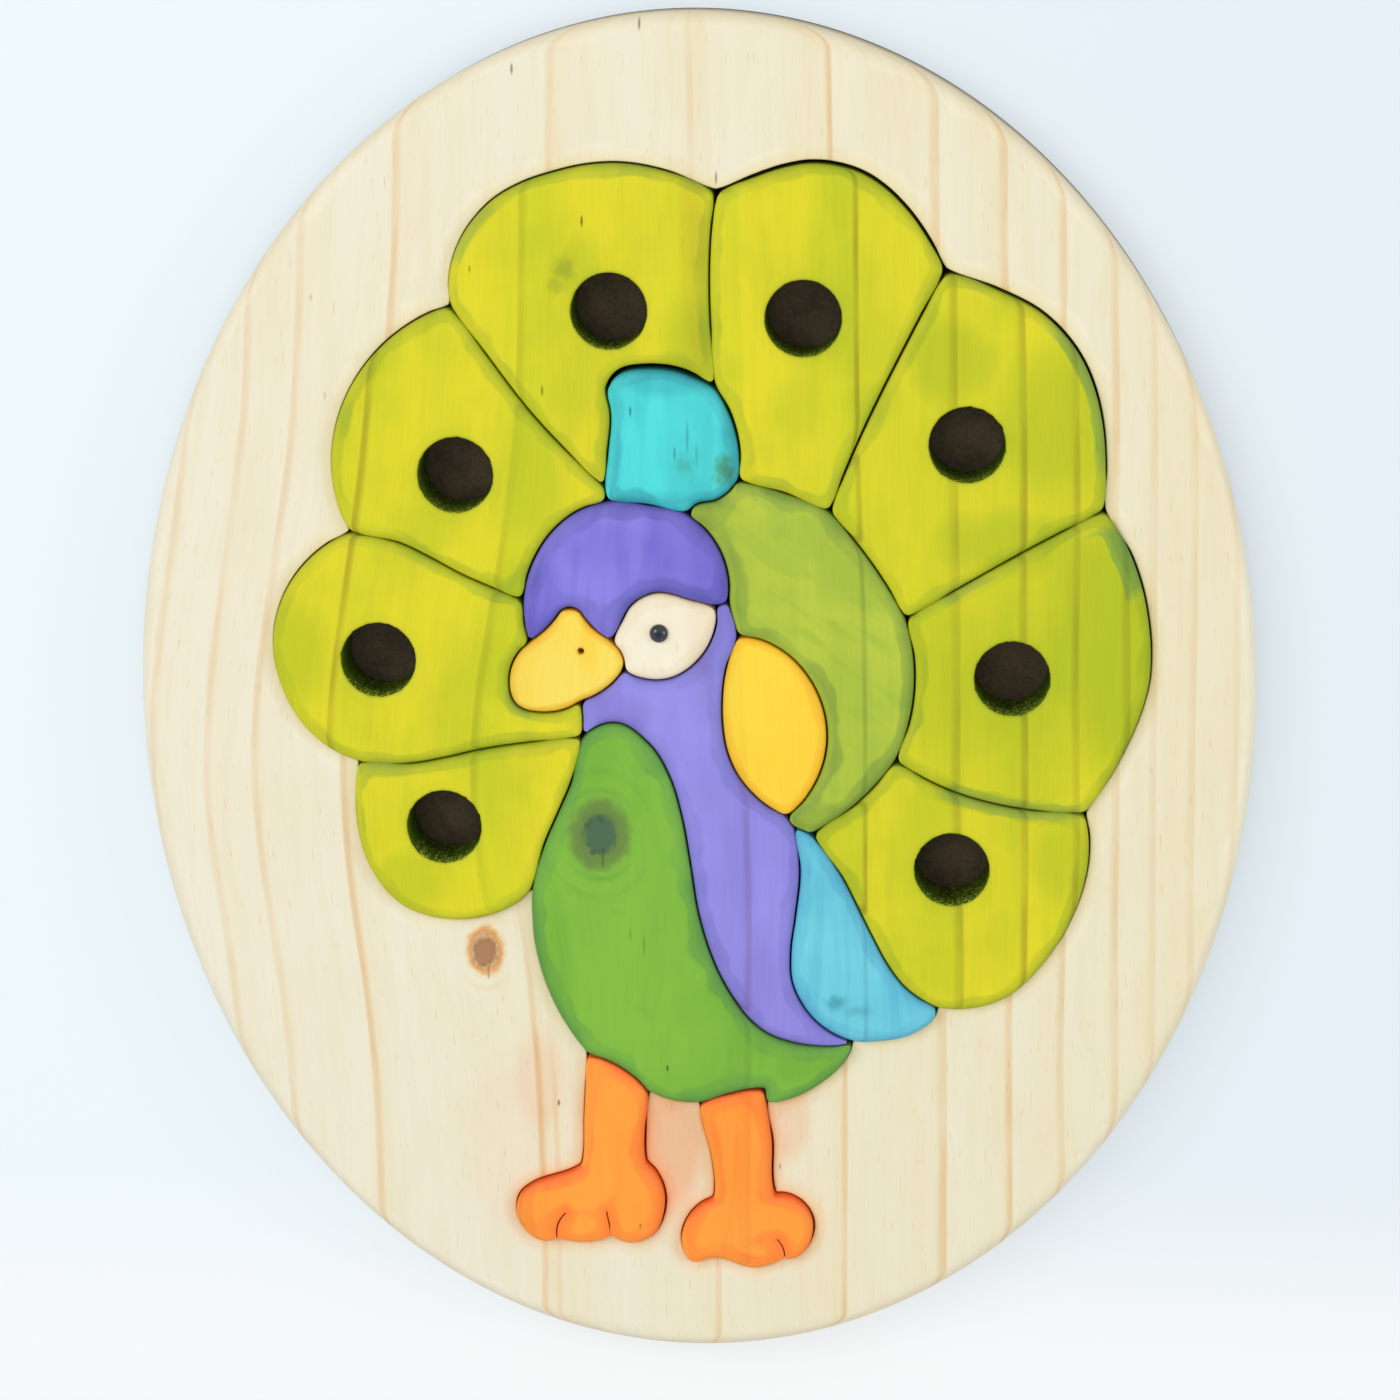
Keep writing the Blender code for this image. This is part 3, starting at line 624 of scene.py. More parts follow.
@dataclass(frozen=True)
class WoodFinish:
    """Pine under a coat, with what the grain, the saw and the sander do to its colour, and painted shade at
    edges.
    """

    name: str
    colour: Colour
    late_wood: Colour = (0.62, 0.66, 0.72)
    year: Colour = (0.93, 0.95, 0.95)
    streaks: float = 0.25
    # rim: the coat pooled along edges, with painted shade on rims facing away from the left light
    rim: Colour = (0.72, 0.72, 0.72)
    end_grain: Colour = (0.72, 0.72, 0.72)
    # wall: painted shade, how dark the sawn walls grow deep below the edge
    wall: Colour = (0.35, 0.35, 0.35)
    thick: Colour = (0.70, 0.72, 0.75)
    patches: tuple[Patch, ...] = ()
    smudges: tuple[Patch, ...] = ()
    smudge: Colour = (0.45, 0.6, 0.6)
    mark: Colour = (0.22, 0.20, 0.18)
    heart: Colour = (0.16, 0.15, 0.22)
    glow: Colour = (0.8, 0.7, 0.6)
    halo: Colour = (0.8, 0.7, 0.6)
    swirl: Colour = (0.75, 0.75, 0.75)
    blotches: float = 0.5
    strokes: float = 0.0
    fibre: float = 0.022
    pores: float = 0.25
    rim_width: float = 3.0
    # turned: the share of the rim band laid all round; the rest is painted shade on rims facing away from the
    # light
    turned: float = 0.7
    slant: float = 0.25
    bored_rim: float = 0.2
    roughness: float = 0.46
    sheen: float = 0.3
    grain_relief: float = 0.04

    def make(self, shop: Workshop) -> Material:
        """Draws the finish as a material.

        Args:
            shop: the shared node groups.

        Returns:
            The new material.
        """
        material, inputs, place = new_material(self.name)
        tree = material.node_tree
        distance = attribute(tree, EDGE_DISTANCE)
        normal = Wire(add_node(tree, "TexCoord").outputs["Normal"])
        wood = effect(tree, shop.wood, {"Place": place})
        edges = effect(tree, shop.edges, {
            "Place": place, "Normal": normal, "Distance": distance,
            "Rim Width": self.rim_width, "Turned": self.turned, "Slant": self.slant,
        })
        spot = Spot(place, distance, attribute(tree, BORE), wood, edges)
        colour = self.pooled(self.grained(self.ground(spot), spot), spot)
        # The coat pooled along the edges, darker as painted shade on rims facing away from the left light.
        colour = colour.fade(self.rim, edges["Rim"] * spot.bore.remap(0.0, 1.0, 1.0, self.bored_rim))
        colour = self.extras(colour.fade(self.end_grain, edges["End"]), spot)
        gloss = wood["Fibre"] * 0.12 + edges["End"] * 0.12 + (self.roughness - 0.06)
        feed_named(inputs, {
            # Painted shade that deepens down the sawn walls.
            "Base Color": colour.fade(self.wall, edges["Wall"]),
            "Roughness": gloss,
            "Specular IOR Level": self.sheen,
            "Normal": bump(wood["Late Wood"] * 0.6 + wood["Fibre"], 0.5, self.grain_relief * MM),
        })
        return material

    def ground(self, spot: Spot) -> Value:
        """The colour before grain is laid on it."""
        return self.colour

    def grained(self, colour: Value, spot: Spot) -> Wire:
        """Lays the wood's own markings on a colour.

        Args:
            colour: the colour so far.
            spot: what is known of the spot.

        Returns:
            The new colour.
        """
        shade = spot.wood["Fibre"].remap(0.3, 0.7, 1.0 - self.fibre, 1.0 + self.fibre)
        laid = join(shade, shade, shade).fade(colour, 1.0)
        for name, factor, share in (
            ("Year", self.year, 1.0), ("Streaks", self.thick, self.streaks),
            ("Late Wood", self.late_wood, 1.0), ("Pores", self.late_wood, self.pores),
            ("Halos", self.halo, 0.9), ("Swirls", self.swirl, 0.7), ("Glow", self.glow, 0.9),
            ("Hearts", self.heart, 0.92), ("Marks", self.mark, 1.0), ("Cracks", self.mark, 0.75),
        ):
            laid = laid.fade(factor, spot.wood[name] * share)
        return laid

    def pooled(self, colour: Wire, spot: Spot) -> Wire:
        """Deepens the coat in blotches and in the patches where it lies thicker, and smudges it.

        Args:
            colour: the colour so far.
            spot: what is known of the spot.

        Returns:
            The new colour.
        """
        cloudy = spot.place.noise((24.0, 34.0, 60.0), 3.0)
        shares = [cloudy.ease(0.42, 0.68) * self.blotches]
        if self.strokes:
            x, y, z = spot.place.split()
            brushed = join(y * -0.62 + x, x * 0.62 + y, z).noise((20.0, 5.5, 40.0), 1.0)
            shares.append(brushed.ease(0.42, 0.66, 0.0, self.strokes))
        for patch in self.patches:
            waver = min(1.2, 0.08 * patch.width)
            far = cloudy * waver + (patch.far(spot.place) - waver / 2)
            shares.append(far.ease(1.1, 0.3, 0.0, patch.strength))
        colour = colour.fade(self.thick, most(shares))
        if not self.smudges:
            return colour
        rough = spot.place.noise((1.8, 2.6, 8.0), 3.0)
        return colour.fade(self.smudge, most(
            (rough + (dirt.far(spot.place) - 0.5)).ease(1.0, 0.1, 0.0, dirt.strength)
            for dirt in self.smudges
        ))

    def extras(self, colour: Wire, spot: Spot) -> Wire:
        """What only one kind of finish has on it."""
        return colour


@dataclass(frozen=True)
class FeatherFinish(WoodFinish):
    """Yellow-green stain, bluer where it ran together at some rims, and dark green with painted shade in the
    bored holes.
    """

    # The stain's green darkened as painted shade on the bore walls; torn_light is the pale torn fibres.
    bore_wall_shade: Colour = (0.09, 0.15, 0.006)
    torn_light: Colour = (0.62, 0.70, 0.08)
    bore_ring: Colour = (0.92, 0.96, 0.85)
    ran_together: Colour = (0.56, 0.74, 3.0)
    pools: tuple[Patch, ...] = ()

    def extras(self, colour: Wire, spot: Spot) -> Wire:
        """Darkens the bores with painted shade, keeps pale torn fibres on their walls, and dyes parts of the
        rims bluer.

        Args:
            colour: the colour so far.
            spot: what is known of the spot.

        Returns:
            The new colour.
        """
        colour = colour.fade(self.ran_together, self.pooled_rims(spot))
        colour = colour.fade(self.bore_ring, spot.bore * spot.distance.remap(1.3, 0.2))
        torn = spot.place.noise((0.55, 0.55, 1.2), 3.0) - spot.edges["End"].remap(0.3, 0.9, 0.10, 0.0)
        # Bore walls: painted shade in dark green, broken by pale torn fibres.
        wall = torn.ease(0.50, 0.62).mix(self.bore_wall_shade, self.torn_light)
        return (spot.bore * spot.distance.remap(0.14, 0.02)).mix(colour, wall)

    def pooled_rims(self, spot: Spot) -> Wire:
        """Where stains ran together: a few rims here and there, and wider bands where it is told to.

        Args:
            spot: what is known of the spot.

        Returns:
            A mask of these rims.
        """
        puddled = spot.place.noise((18.0, 22.0, 40.0)).ease(0.60, 0.74, 0.0, 0.6)
        # The Rim mask carries the painted shade of rims that face away from the left light.
        shares = [spot.edges["Rim"] * puddled]
        waver = spot.place.noise((5.0, 5.0, 9.0)) * 1.6 + spot.distance
        for pool in self.pools:
            near = pool.far(spot.place).ease(1.0, 0.7, 0.0, pool.strength)
            shares.append(near * waver.ease(1.2 + pool.breadth, 0.6 + pool.breadth))
        return most(shares) * (1.0 - spot.bore)


@dataclass(frozen=True)
class BarePineFinish(WoodFinish):
    """Unstained pine, whiter at its left, with painted shade along the opening, tinted a little where the
    stained legs touch it.
    """

    left: Colour = (0.795, 0.755, 0.61)
    right: Colour = (0.785, 0.735, 0.55)
    leg_tint: Colour = (1.0, 0.66, 0.52)
    seam_tint: Colour = (1.0, 0.62, 0.50)
    tints: tuple[Patch, ...] = (
        Patch(-8.0, -126.0, 12.0, 24.0), Patch(25.0, -116.0, 8.0, 16.0, 0.5),
        Patch(-43.0, -106.0, 9.0, 18.0, 0.3), Patch(-52.0, -126.0, 16.0, 34.0, 0.15),
    )
    legs_top: float = -103.0
    # Painted shade along the opening, yellowed like light bounced off the raised pieces.
    opening_shade: Colour = (0.95, 0.90, 0.72)

    def ground(self, spot: Spot) -> Value:
        """Bare pine, whiter at the left and yellower at the right."""
        return spot.place.split()[0].remap(-130.0, 130.0).mix(self.left, self.right)

    def extras(self, colour: Wire, spot: Spot) -> Wire:
        """Paints shade beside the opening, and tints the wood more between and beside the legs.

        Args:
            colour: the colour so far.
            spot: what is known of the spot.

        Returns:
            The new colour.
        """
        # Painted shade within 4 mm of the opening, with a yellow bounce tint.
        colour = colour.fade(self.opening_shade, spot.bore * spot.distance.remap(4.0, 0.2))
        low = spot.place.split()[1].remap(self.legs_top, self.legs_top - 8.0)
        seam = most((spot.distance.remap(1.6, 0.2, 0.0, 0.8), spot.distance.remap(5.0, 0.0, 0.0, 0.35)))
        colour = colour.fade(self.seam_tint, seam * low * spot.bore)
        for tint in self.tints:
            colour = colour.fade(self.leg_tint, tint.far(spot.place).ease(1.0, 0.5, 0.0, tint.strength))
        return colour


@dataclass(frozen=True)
class BoardFinish:
    """Dark brown hardboard with short pressed fibres, darkened further as painted shade for the hole floors.
    """

    name: str = "brown_hardboard"
    # Both colours are darker than the hardboard itself: painted shade where it shows at the bottom of the
    # holes.
    light: Colour = (0.085, 0.060, 0.030)
    dark: Colour = (0.036, 0.026, 0.013)
    roughness: float = 0.75

    def make(self) -> Material:
        """Draws the finish as a material.

        Returns:
            The new material.
        """
        material, inputs, place = new_material(self.name)
        pressed = place.noise((0.8, 0.8, 0.4), 4.0)
        tone = place.noise((9.0, 9.0, 9.0)) * 0.5 + pressed * 0.6
        feed_named(inputs, {
            "Base Color": tone.remap(0.4, 0.7).mix(self.dark, self.light),
            "Roughness": pressed * 0.15 + (self.roughness - 0.07),
            "Normal": bump(pressed, 0.4, 0.15 * MM),
        })
        return material


@dataclass(frozen=True)
class BeadFinish:
    """A glossy dark bead with a brown ring low on its dome, and a painted reflection that lightens its
    slopes.
    """

    name: str = "glossy_bead"
    top: Colour = (0.010, 0.013, 0.018)
    # slope: painted reflection of the pale surroundings on the dome's slopes
    slope: Colour = (0.030, 0.042, 0.060)
    rim: Colour = (0.045, 0.018, 0.010)
    roughness: float = 0.14
    centre: tuple[float, float] = (-9.1, 20.9)
    radius: float = 2.5

    def make(self) -> Material:
        """Draws the finish as a material.

        Returns:
            The new material.
        """
        material, inputs, place = new_material(self.name)
        far = place.from_oval(*self.centre, self.radius, self.radius)
        # Painted reflection: the dome lightens and blues from its top to its slopes.
        dome = far.ease(0.15, 0.5).mix(self.top, self.slope)
        feed_named(inputs, {
            "Base Color": far.ease(0.72, 0.86).mix(dome, self.rim),
            "Roughness": place.noise((0.6, 0.6, 0.6)) * 0.1 + (self.roughness - 0.05),
            "Coat Weight": 0.3,
            "Coat Roughness": 0.06,
        })
        return material


@dataclass(frozen=True)
class FloorFinish:
    """The plain pale top of a light table, which glows a little, with painted light whiter in front and at
    the left.
    """

    name: str = "pale_table"
    # Painted light: the table is brighter at the left and in front, dimmer at the right and back.
    left: Colour = (0.82, 0.90, 0.94)
    right: Colour = (0.765, 0.84, 0.885)
    front: Colour = (0.905, 0.92, 0.925)
    glow: float = 0.62

    def make(self) -> Material:
        """Draws the finish as a material.

        Returns:
            The new material.
        """
        material, inputs, place = new_material(self.name)
        x, y, _ = place.split()
        soft = place.noise((400.0, 400.0, 400.0)) * 0.06 - 0.03
        in_front = y.ease(-130.0, -200.0).math("ADD", soft, clamp=True)
        # Painted light across the table, brightest in front and at the left.
        colour = in_front.mix(x.ease(-160.0, 140.0).mix(self.left, self.right), self.front)
        feed_named(inputs, {
            "Base Color": colour.fade((1.0 - self.glow,) * 3, 1.0),
            "Emission Color": colour,
            "Emission Strength": self.glow,
            "Roughness": 0.8,
            "Specular IOR Level": 0.2,
        })
        return material


class Cut(Enum):
    """How a closed line in a board was made."""

    OUTSIDE = "outside"
    THROUGH = "through"
    BLIND = "blind"


class RingKind(Enum):
    """Where on a wall a ring of points is."""

    BETWEEN = 0
    LOWEST = 1
    HIGHEST = 2
    FLOOR = 3


@dataclass
class CutLine:
    """A closed line of a board seen from above, with the wood on its left, in metres."""

    points: Array
    cut: Cut
    floor: float
    edge_round: Array = field(default_factory=lambda: np.zeros(0))

    def area(self) -> float:
        """The area it encloses, negative where it runs clockwise."""
        x, y = self.points.T
        return float(np.sum(x * np.roll(y, -1) - y * np.roll(x, -1)) / 2)

    def normals(self) -> Array:
        """Unit directions into the wood at each point.

        Returns:
            One direction for each point.
        """
        ahead = unit(np.roll(self.points, -1, 0) - self.points)
        behind = np.roll(ahead, 1, 0)
        along = unit(ahead + behind)
        return np.stack((-along[:, 1], along[:, 0]), axis=1)


def unit(vectors: Array) -> Array:
    """Vectors brought to a length of one."""
    return vectors / np.maximum(np.linalg.norm(vectors, axis=-1, keepdims=True), 1e-12)


def deselect_everything() -> None:
    """Leaves no object selected or active."""
    bpy.ops.object.select_all(action="DESELECT")
    bpy.context.view_layer.objects.active = None


def make_active(piece: Piece) -> None:
    """Selects one object alone and makes it active.

    Args:
        piece: the object.
    """
    deselect_everything()
    piece.select_set(True)
    bpy.context.view_layer.objects.active = piece


@contextmanager
def editing(piece: Piece) -> Iterator[None]:
    """Selects one object alone, and holds it in edit mode for the lines within.

    Args:
        piece: the object.

    Yields:
        Nothing, while the object is in edit mode.
    """
    make_active(piece)
    bpy.ops.object.mode_set(mode="EDIT")
    yield
    bpy.ops.object.mode_set(mode="OBJECT")


def new_object(name: str, data: bpy.types.ID) -> Piece:
    """Puts a new object in the scene.

    Args:
        name: its name.
        data: its mesh, light or camera.

    Returns:
        The object.
    """
    made = bpy.data.objects.new(name, data)
    bpy.context.scene.collection.objects.link(made)
    return made


def select_where(piece: Piece, mode: str, wanted: Callable[..., bool]) -> None:
    """Selects only the faces or edges that are wanted.

    Args:
        piece: the piece, in edit mode.
        mode: FACE or EDGE.
        wanted: says of a face or an edge whether it is wanted.
    """
    bpy.ops.mesh.select_mode(type=mode)
    bpy.ops.mesh.select_all(action="DESELECT")
    mesh = bmesh.from_edit_mesh(piece.data)
    for part in mesh.faces if mode == "FACE" else mesh.edges:
        part.select_set(wanted(part))
    bmesh.update_edit_mesh(piece.data)


def select_level(piece: Piece, height: float, facing: float) -> None:
    """Selects the flat faces at one height.

    Args:
        piece: the piece, in edit mode.
        height: where the faces lie.
        facing: 1.0 for faces that look up, -1.0 for faces that look down.
    """
    def level(face: bmesh.types.BMFace) -> bool:
        """Whether a face lies at the height and looks the right way."""
        flat = all(abs(vertex.co.z - height) < LEVEL for vertex in face.verts)
        return flat and face.normal.z * facing > 0.5

    select_where(piece, "FACE", level)


def dress(piece: Piece, node: str, body: str, finish: Material) -> None:
    """Shades and dresses a finished piece, and puts it in place of its solid.

    Args:
        piece: the finished piece.
        node: the node that it replaces.
        body: the body that it moves with.
        finish: its material.
    """
    make_active(piece)
    bpy.ops.object.shade_smooth_by_angle(angle=SMOOTH_ANGLE)
    piece.data.materials.append(finish)
    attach(piece, body)
    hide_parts(node)
    LOG.info("%s: %d faces on body %s", piece.name, len(piece.data.polygons), body)


def border_lines(copy: Piece, height: float, facing: float) -> list[Array]:
    """The closed lines round the flat faces of a solid at one height.

    Args:
        copy: a copy of the solid, with its loose triangles joined.
        height: where the faces lie.
        facing: 1.0 for faces that look up, -1.0 for faces that look down.

    Returns:
        The points of each line, in order round it.
    """
    with editing(copy):
        select_level(copy, height, facing)
        bpy.ops.mesh.region_to_loop()
        mesh = bmesh.from_edit_mesh(copy.data)
        return chained([edge for edge in mesh.edges if edge.select])


def chained(edges: list[bmesh.types.BMEdge]) -> list[Array]:
    """Puts loose edges in order round the closed lines that they make.

    Args:
        edges: the loose edges.

    Returns:
        The points of each line, in order round it.
    """
    beside: dict[bmesh.types.BMVert, list[bmesh.types.BMVert]] = {}
    for edge in edges:
        first, second = edge.verts
        beside.setdefault(first, []).append(second)
        beside.setdefault(second, []).append(first)
    lines = []
    left = set(beside)
    while left:
        start = min(left, key=lambda vertex: vertex.index)
        line = [start]
        left.discard(start)
        while True:
            ahead = [vertex for vertex in beside[line[-1]] if vertex in left]
            if not ahead:
                break
            line.append(ahead[0])
            left.discard(ahead[0])
        lines.append(np.array([vertex.co.xy for vertex in line]))
    return lines


def without_crowding(points: Array, least: float = 0.06 * MM) -> Array:
    """The points of a closed line without those that nearly touch the one before.

    Args:
        points: the points of the line.
        least: the least distance that is kept.

    Returns:
        The points that are kept.
    """
    kept = [points[0]]
    for point in points[1:]:
        if np.linalg.norm(point - kept[-1]) > least:
            kept.append(point)
    if np.linalg.norm(kept[0] - kept[-1]) <= least:
        kept.pop()
    return np.array(kept)


def smoothed(points: Array) -> Array:
    """A finer closed line through the given points, smooth except at sharp corners.

    Args:
        points: the points of a closed line.

    Returns:
        Many more points, closer together where the line bends.
    """
    points = without_crowding(points)
    ahead = np.roll(points, -1, 0) - points
    behind = np.roll(ahead, 1, 0)
    weighed = ahead / np.sum(ahead**2, 1, keepdims=True) + behind / np.sum(behind**2, 1, keepdims=True)
    tangents = unit(weighed)
    sharp = np.sum(unit(ahead) * unit(behind), 1) < math.cos(CORNER_TURN)
    fine = []
    for here in range(len(points)):
        after = (here + 1) % len(points)
        chord = unit(ahead[here])
        leaving, arriving = tangents[here], tangents[after]
        if sharp[here] and sharp[after]:
            leaving = arriving = chord
        elif sharp[here]:
            leaving = unit(2 * chord * float(chord @ arriving) - arriving)
        elif sharp[after]:
            arriving = unit(2 * chord * float(chord @ leaving) - leaving)
        span = float(np.linalg.norm(ahead[here]))
        bend = math.acos(min(1.0, float(leaving @ chord))) + math.acos(min(1.0, float(arriving @ chord)))
        steps = max(1, math.ceil(span / LINE_STEP), math.ceil(bend / BEND_STEP))
        start, end = Vector((*points[here], 0.0)), Vector((*points[after], 0.0))
        handles = Vector((*leaving, 0.0)) * span / 3, Vector((*arriving, 0.0)) * span / 3
        bezier = interpolate_bezier(start, start + handles[0], end - handles[1], end, steps + 1)
        fine += [point.xy for point in bezier[:-1]]
    return np.array(fine)


def room_inward(points: Array, normals: Array, others: Array) -> Array:
    """How far each point can move along its normal before it is as near to another side.

    Args:
        points: the points that move.
        normals: the directions in which they move.
        others: all the points of the same board's lines.

    Returns:
        One distance for each point.
    """
    away = others[None, :, :] - points[:, None, :]
    side = np.einsum("ijk,ik->ij", away, normals)
    square = np.sum(away**2, axis=2)
    room = np.where(side > TOUCHING, square / (2 * np.maximum(side, 1e-12)), np.inf)
    return room.min(axis=1)


def evened(values: Array, spread: int) -> Array:
    """Values round a closed line, each averaged with its neighbours."""
    total = sum(np.roll(values, shift) for shift in range(-spread, spread + 1))
    return total / (2 * spread + 1)


@dataclass
class SawnBoard:
    """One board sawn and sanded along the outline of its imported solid, with lengths in metres."""

    node: str
    body: str
    slot: str
    finish: Material
    edge_round: float
    edge_drop: float
    hole_round: float
    under_round: float = 0.4 * MM
    slit_round: float = 0.12 * MM
    slit_width: float = 0.7 * MM
    flat_steps: tuple[float, ...] = (0.6 * MM, 1.6 * MM, 3.2 * MM)
    blind_depth: float = 0.0
    hole_near: float = 3.0 * MM
    blind_widest: float = 6.0 * MM
    ragged: float = 0.0
    ragged_reach: float = 0.5 * MM
    seed: int = 1

    def build(self) -> Piece:
        """Saws, sands and dresses the board, and puts it in place of its solid.

        Returns:
            The finished piece.
        """
        low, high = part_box(self.node)
        self.bottom, self.top = low.z, high.z
        lines = self.read_lines()
        piece = self.start_mesh()
        for line in lines:
            self.raise_wall(piece, line, self.rings_of(line, lines))
        self.cap(piece)
        dress(piece, self.node, self.body, self.finish)
        return piece

    def read_lines(self) -> list[CutLine]:
        """Reads the lines of the solid's two flat sides, and makes them fine.

        Returns:
            The lines, each with how far its edge is rounded over.
        """
        copy = new_object(self.node + "_copy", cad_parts[self.node].data.copy())
        with editing(copy):
            bpy.ops.mesh.select_all(action="SELECT")
            bpy.ops.mesh.remove_doubles(threshold=TOUCHING)
        under = border_lines(copy, self.bottom, -1.0)
        upper = border_lines(copy, self.top, 1.0)
        bpy.data.objects.remove(copy, do_unlink=True)
        lines = [CutLine(smoothed(points), Cut.THROUGH, self.bottom) for points in under]
        for points in upper if self.blind_depth else []:
            near = [np.linalg.norm(points.mean(0) - line.points.mean(0)) for line in lines]
            if min(near) > self.hole_near and np.ptp(points, axis=0).max() < self.blind_widest:
                lines.append(CutLine(smoothed(points), Cut.BLIND, self.top - self.blind_depth))
        outside = max(lines, key=lambda line: abs(line.area()))
        outside.cut = Cut.OUTSIDE
        for line in lines:
            if (line.area() > 0) != (line is outside):
                line.points = line.points[::-1].copy()
            line.edge_round = self.rounds_along(line)
        return lines

    def rounds_along(self, line: CutLine) -> Array:
        """How far the edge is rounded over at each point: hardly at all beside a saw slit.

        Args:
            line: the edge's line.

        Returns:
            One distance for each point.
        """
        wanted = self.edge_round if line.cut is Cut.OUTSIDE else self.hole_round
        rounds = np.full(len(line.points), wanted)
        if line.cut is Cut.OUTSIDE:
            gap = room_inward(line.points, -line.normals(), line.points)
            slit = np.where(2 * gap < self.slit_width, 1.0, 0.0)
            share = evened(evened(slit, 1), 1)
            rounds = rounds * (1 - share) + self.slit_round * share
        return rounds

    def rings_of(self, line: CutLine, lines: list[CutLine]) -> list[RingPoints]:
        """The closed rings up a wall and over its rounded edge.

        Args:
            line: the wall's line.
            lines: all the lines of the board.

        Returns:
            Points in space and distances from the edge in millimetres for each ring, from below.
        """
        normals = line.normals()
        everything = np.concatenate([other.points for other in lines])
        room = SHARE_OF_ROOM * room_inward(line.points, normals, everything)
        room = evened(np.minimum(room, np.minimum(np.roll(room, 1), np.roll(room, -1))), 1)
        rounds = np.minimum(line.edge_round, SHARE_ROUNDED * room)
        steepness = self.edge_drop / self.edge_round if line.cut is Cut.OUTSIDE else 1.0
        drops = rounds * steepness
        flat_reach = np.minimum(self.flat_steps[-1], room - rounds)
        wall = (self.top - line.floor) / MM
        rings = []
        if line.cut is not Cut.BLIND:
            eased = np.minimum(self.under_round, room)
            rings.append(self.ring(line.points + normals * eased[:, None], line.floor, -wall))
            rings.append(self.ring(line.points, line.floor + self.under_round, -wall))
        else:
            rings.append(self.ring(line.points, line.floor, -wall))
        rough = self.raggedness(line)
        levels = []
        for step in range(ROUND_STEPS + 1):
            turn = math.pi / 2 * step / ROUND_STEPS
            levels.append((rounds * (1 - math.cos(turn)), self.top - drops * (1 - math.sin(turn))))
        for flat in self.flat_steps:
            levels.append((rounds + flat_reach * flat / self.flat_steps[-1], np.full(len(room), self.top)))
        for moved, height in levels:
            torn = moved + rough * np.exp(-moved / self.ragged_reach)
            rings.append((np.column_stack((line.points + normals * torn[:, None], height)), moved / MM))
        return rings

    def raggedness(self, line: CutLine) -> Array:
        """How unevenly a bored edge broke, at each of its points.

        Args:
            line: the edge's line.

        Returns:
            One distance for each point.
        """
        if line.cut is Cut.OUTSIDE or self.ragged == 0.0:
            return np.zeros(len(line.points))
        chance = np.random.default_rng(self.seed)
        return self.ragged * np.abs(chance.normal(size=len(line.points))) * chance.random(len(line.points))

    @staticmethod
    def ring(flat: Array, height: float, distance: float) -> RingPoints:
        """A level ring with one distance from the edge all round."""
        count = len(flat)
        return np.column_stack((flat, np.full(count, height))), np.full(count, distance)

    def start_mesh(self) -> Piece:
        """An empty mesh object with the attributes that the walls are given.

        Returns:
            The object.
        """
        mesh = bpy.data.meshes.new(self.node + "_looks")
        for name, kind in ((STATION, "INT"), (RING, "INT"), (EDGE_DISTANCE, "FLOAT"), (BORE, "FLOAT")):
            mesh.attributes.new(name, kind, "POINT")
        return new_object(mesh.name, mesh)

    def raise_wall(self, piece: Piece, line: CutLine, rings: list[RingPoints]) -> None:
        """Draws a circle out to a line, and extrudes it up the wall and over the edge.

        Args:
            piece: the board.
            line: the wall's line.
            rings: where the wall's rings go, from below.
        """
        with editing(piece):
            bpy.ops.mesh.select_mode(type="VERT")
            bpy.ops.mesh.select_all(action="DESELECT")
            bpy.ops.mesh.primitive_circle_add(vertices=len(line.points), radius=MM, fill_type="NOTHING")
            self.number_stations(piece)
            lowest = RingKind.FLOOR if line.cut is Cut.BLIND else RingKind.LOWEST
            self.place_ring(piece, rings[0], line.cut, lowest)
            for ring in rings[1:]:
                bpy.ops.mesh.extrude_region_move(TRANSFORM_OT_translate={"value": (0, 0, 0)})
                kind = RingKind.HIGHEST if ring is rings[-1] else RingKind.BETWEEN
                self.place_ring(piece, ring, line.cut, kind)
            if line.cut is Cut.BLIND:
                self.select_rings(piece, RingKind.FLOOR)
                bpy.ops.mesh.edge_face_add()

    @staticmethod
    def number_stations(piece: Piece) -> None:
        """Numbers the points of a new circle in their order round it.

        Args:
            piece: the board, in edit mode.
        """
        mesh = bmesh.from_edit_mesh(piece.data)
        station = mesh.verts.layers.int[STATION]
        fresh = [vertex for vertex in mesh.verts if vertex.select]
        for number, vertex in enumerate(fresh):
            vertex[station] = number
        bmesh.update_edit_mesh(piece.data)

    @staticmethod
    def place_ring(piece: Piece, ring: RingPoints, cut: Cut, kind: RingKind) -> None:
        """Moves the selected ring to its points.

        Args:
            piece: the board, in edit mode.
            ring: where each numbered station goes, and its distance from the edge.
            cut: how the ring's line was made.
            kind: where on the wall the ring is.
        """
        mesh = bmesh.from_edit_mesh(piece.data)
        whole, real = mesh.verts.layers.int, mesh.verts.layers.float
        points, distances = ring
        for vertex in mesh.verts:
            if vertex.select:
                number = vertex[whole[STATION]]
                vertex.co = points[number]
                vertex[real[EDGE_DISTANCE]] = distances[number]
                vertex[real[BORE]] = 0.0 if cut is Cut.OUTSIDE else 1.0
                vertex[whole[RING]] = kind.value
        bmesh.update_edit_mesh(piece.data)

    @staticmethod
    def select_rings(piece: Piece, kind: RingKind) -> None:
        """Selects the open edges of the rings of one kind.

        Args:
            piece: the board, in edit mode.
            kind: where on the wall the rings are.
        """
        def open_edge(edge: bmesh.types.BMEdge) -> bool:
            """Whether an edge is on such a ring, with a face on one side only."""
            return len(edge.link_faces) == 1 and all(vertex[ring] == kind.value for vertex in edge.verts)

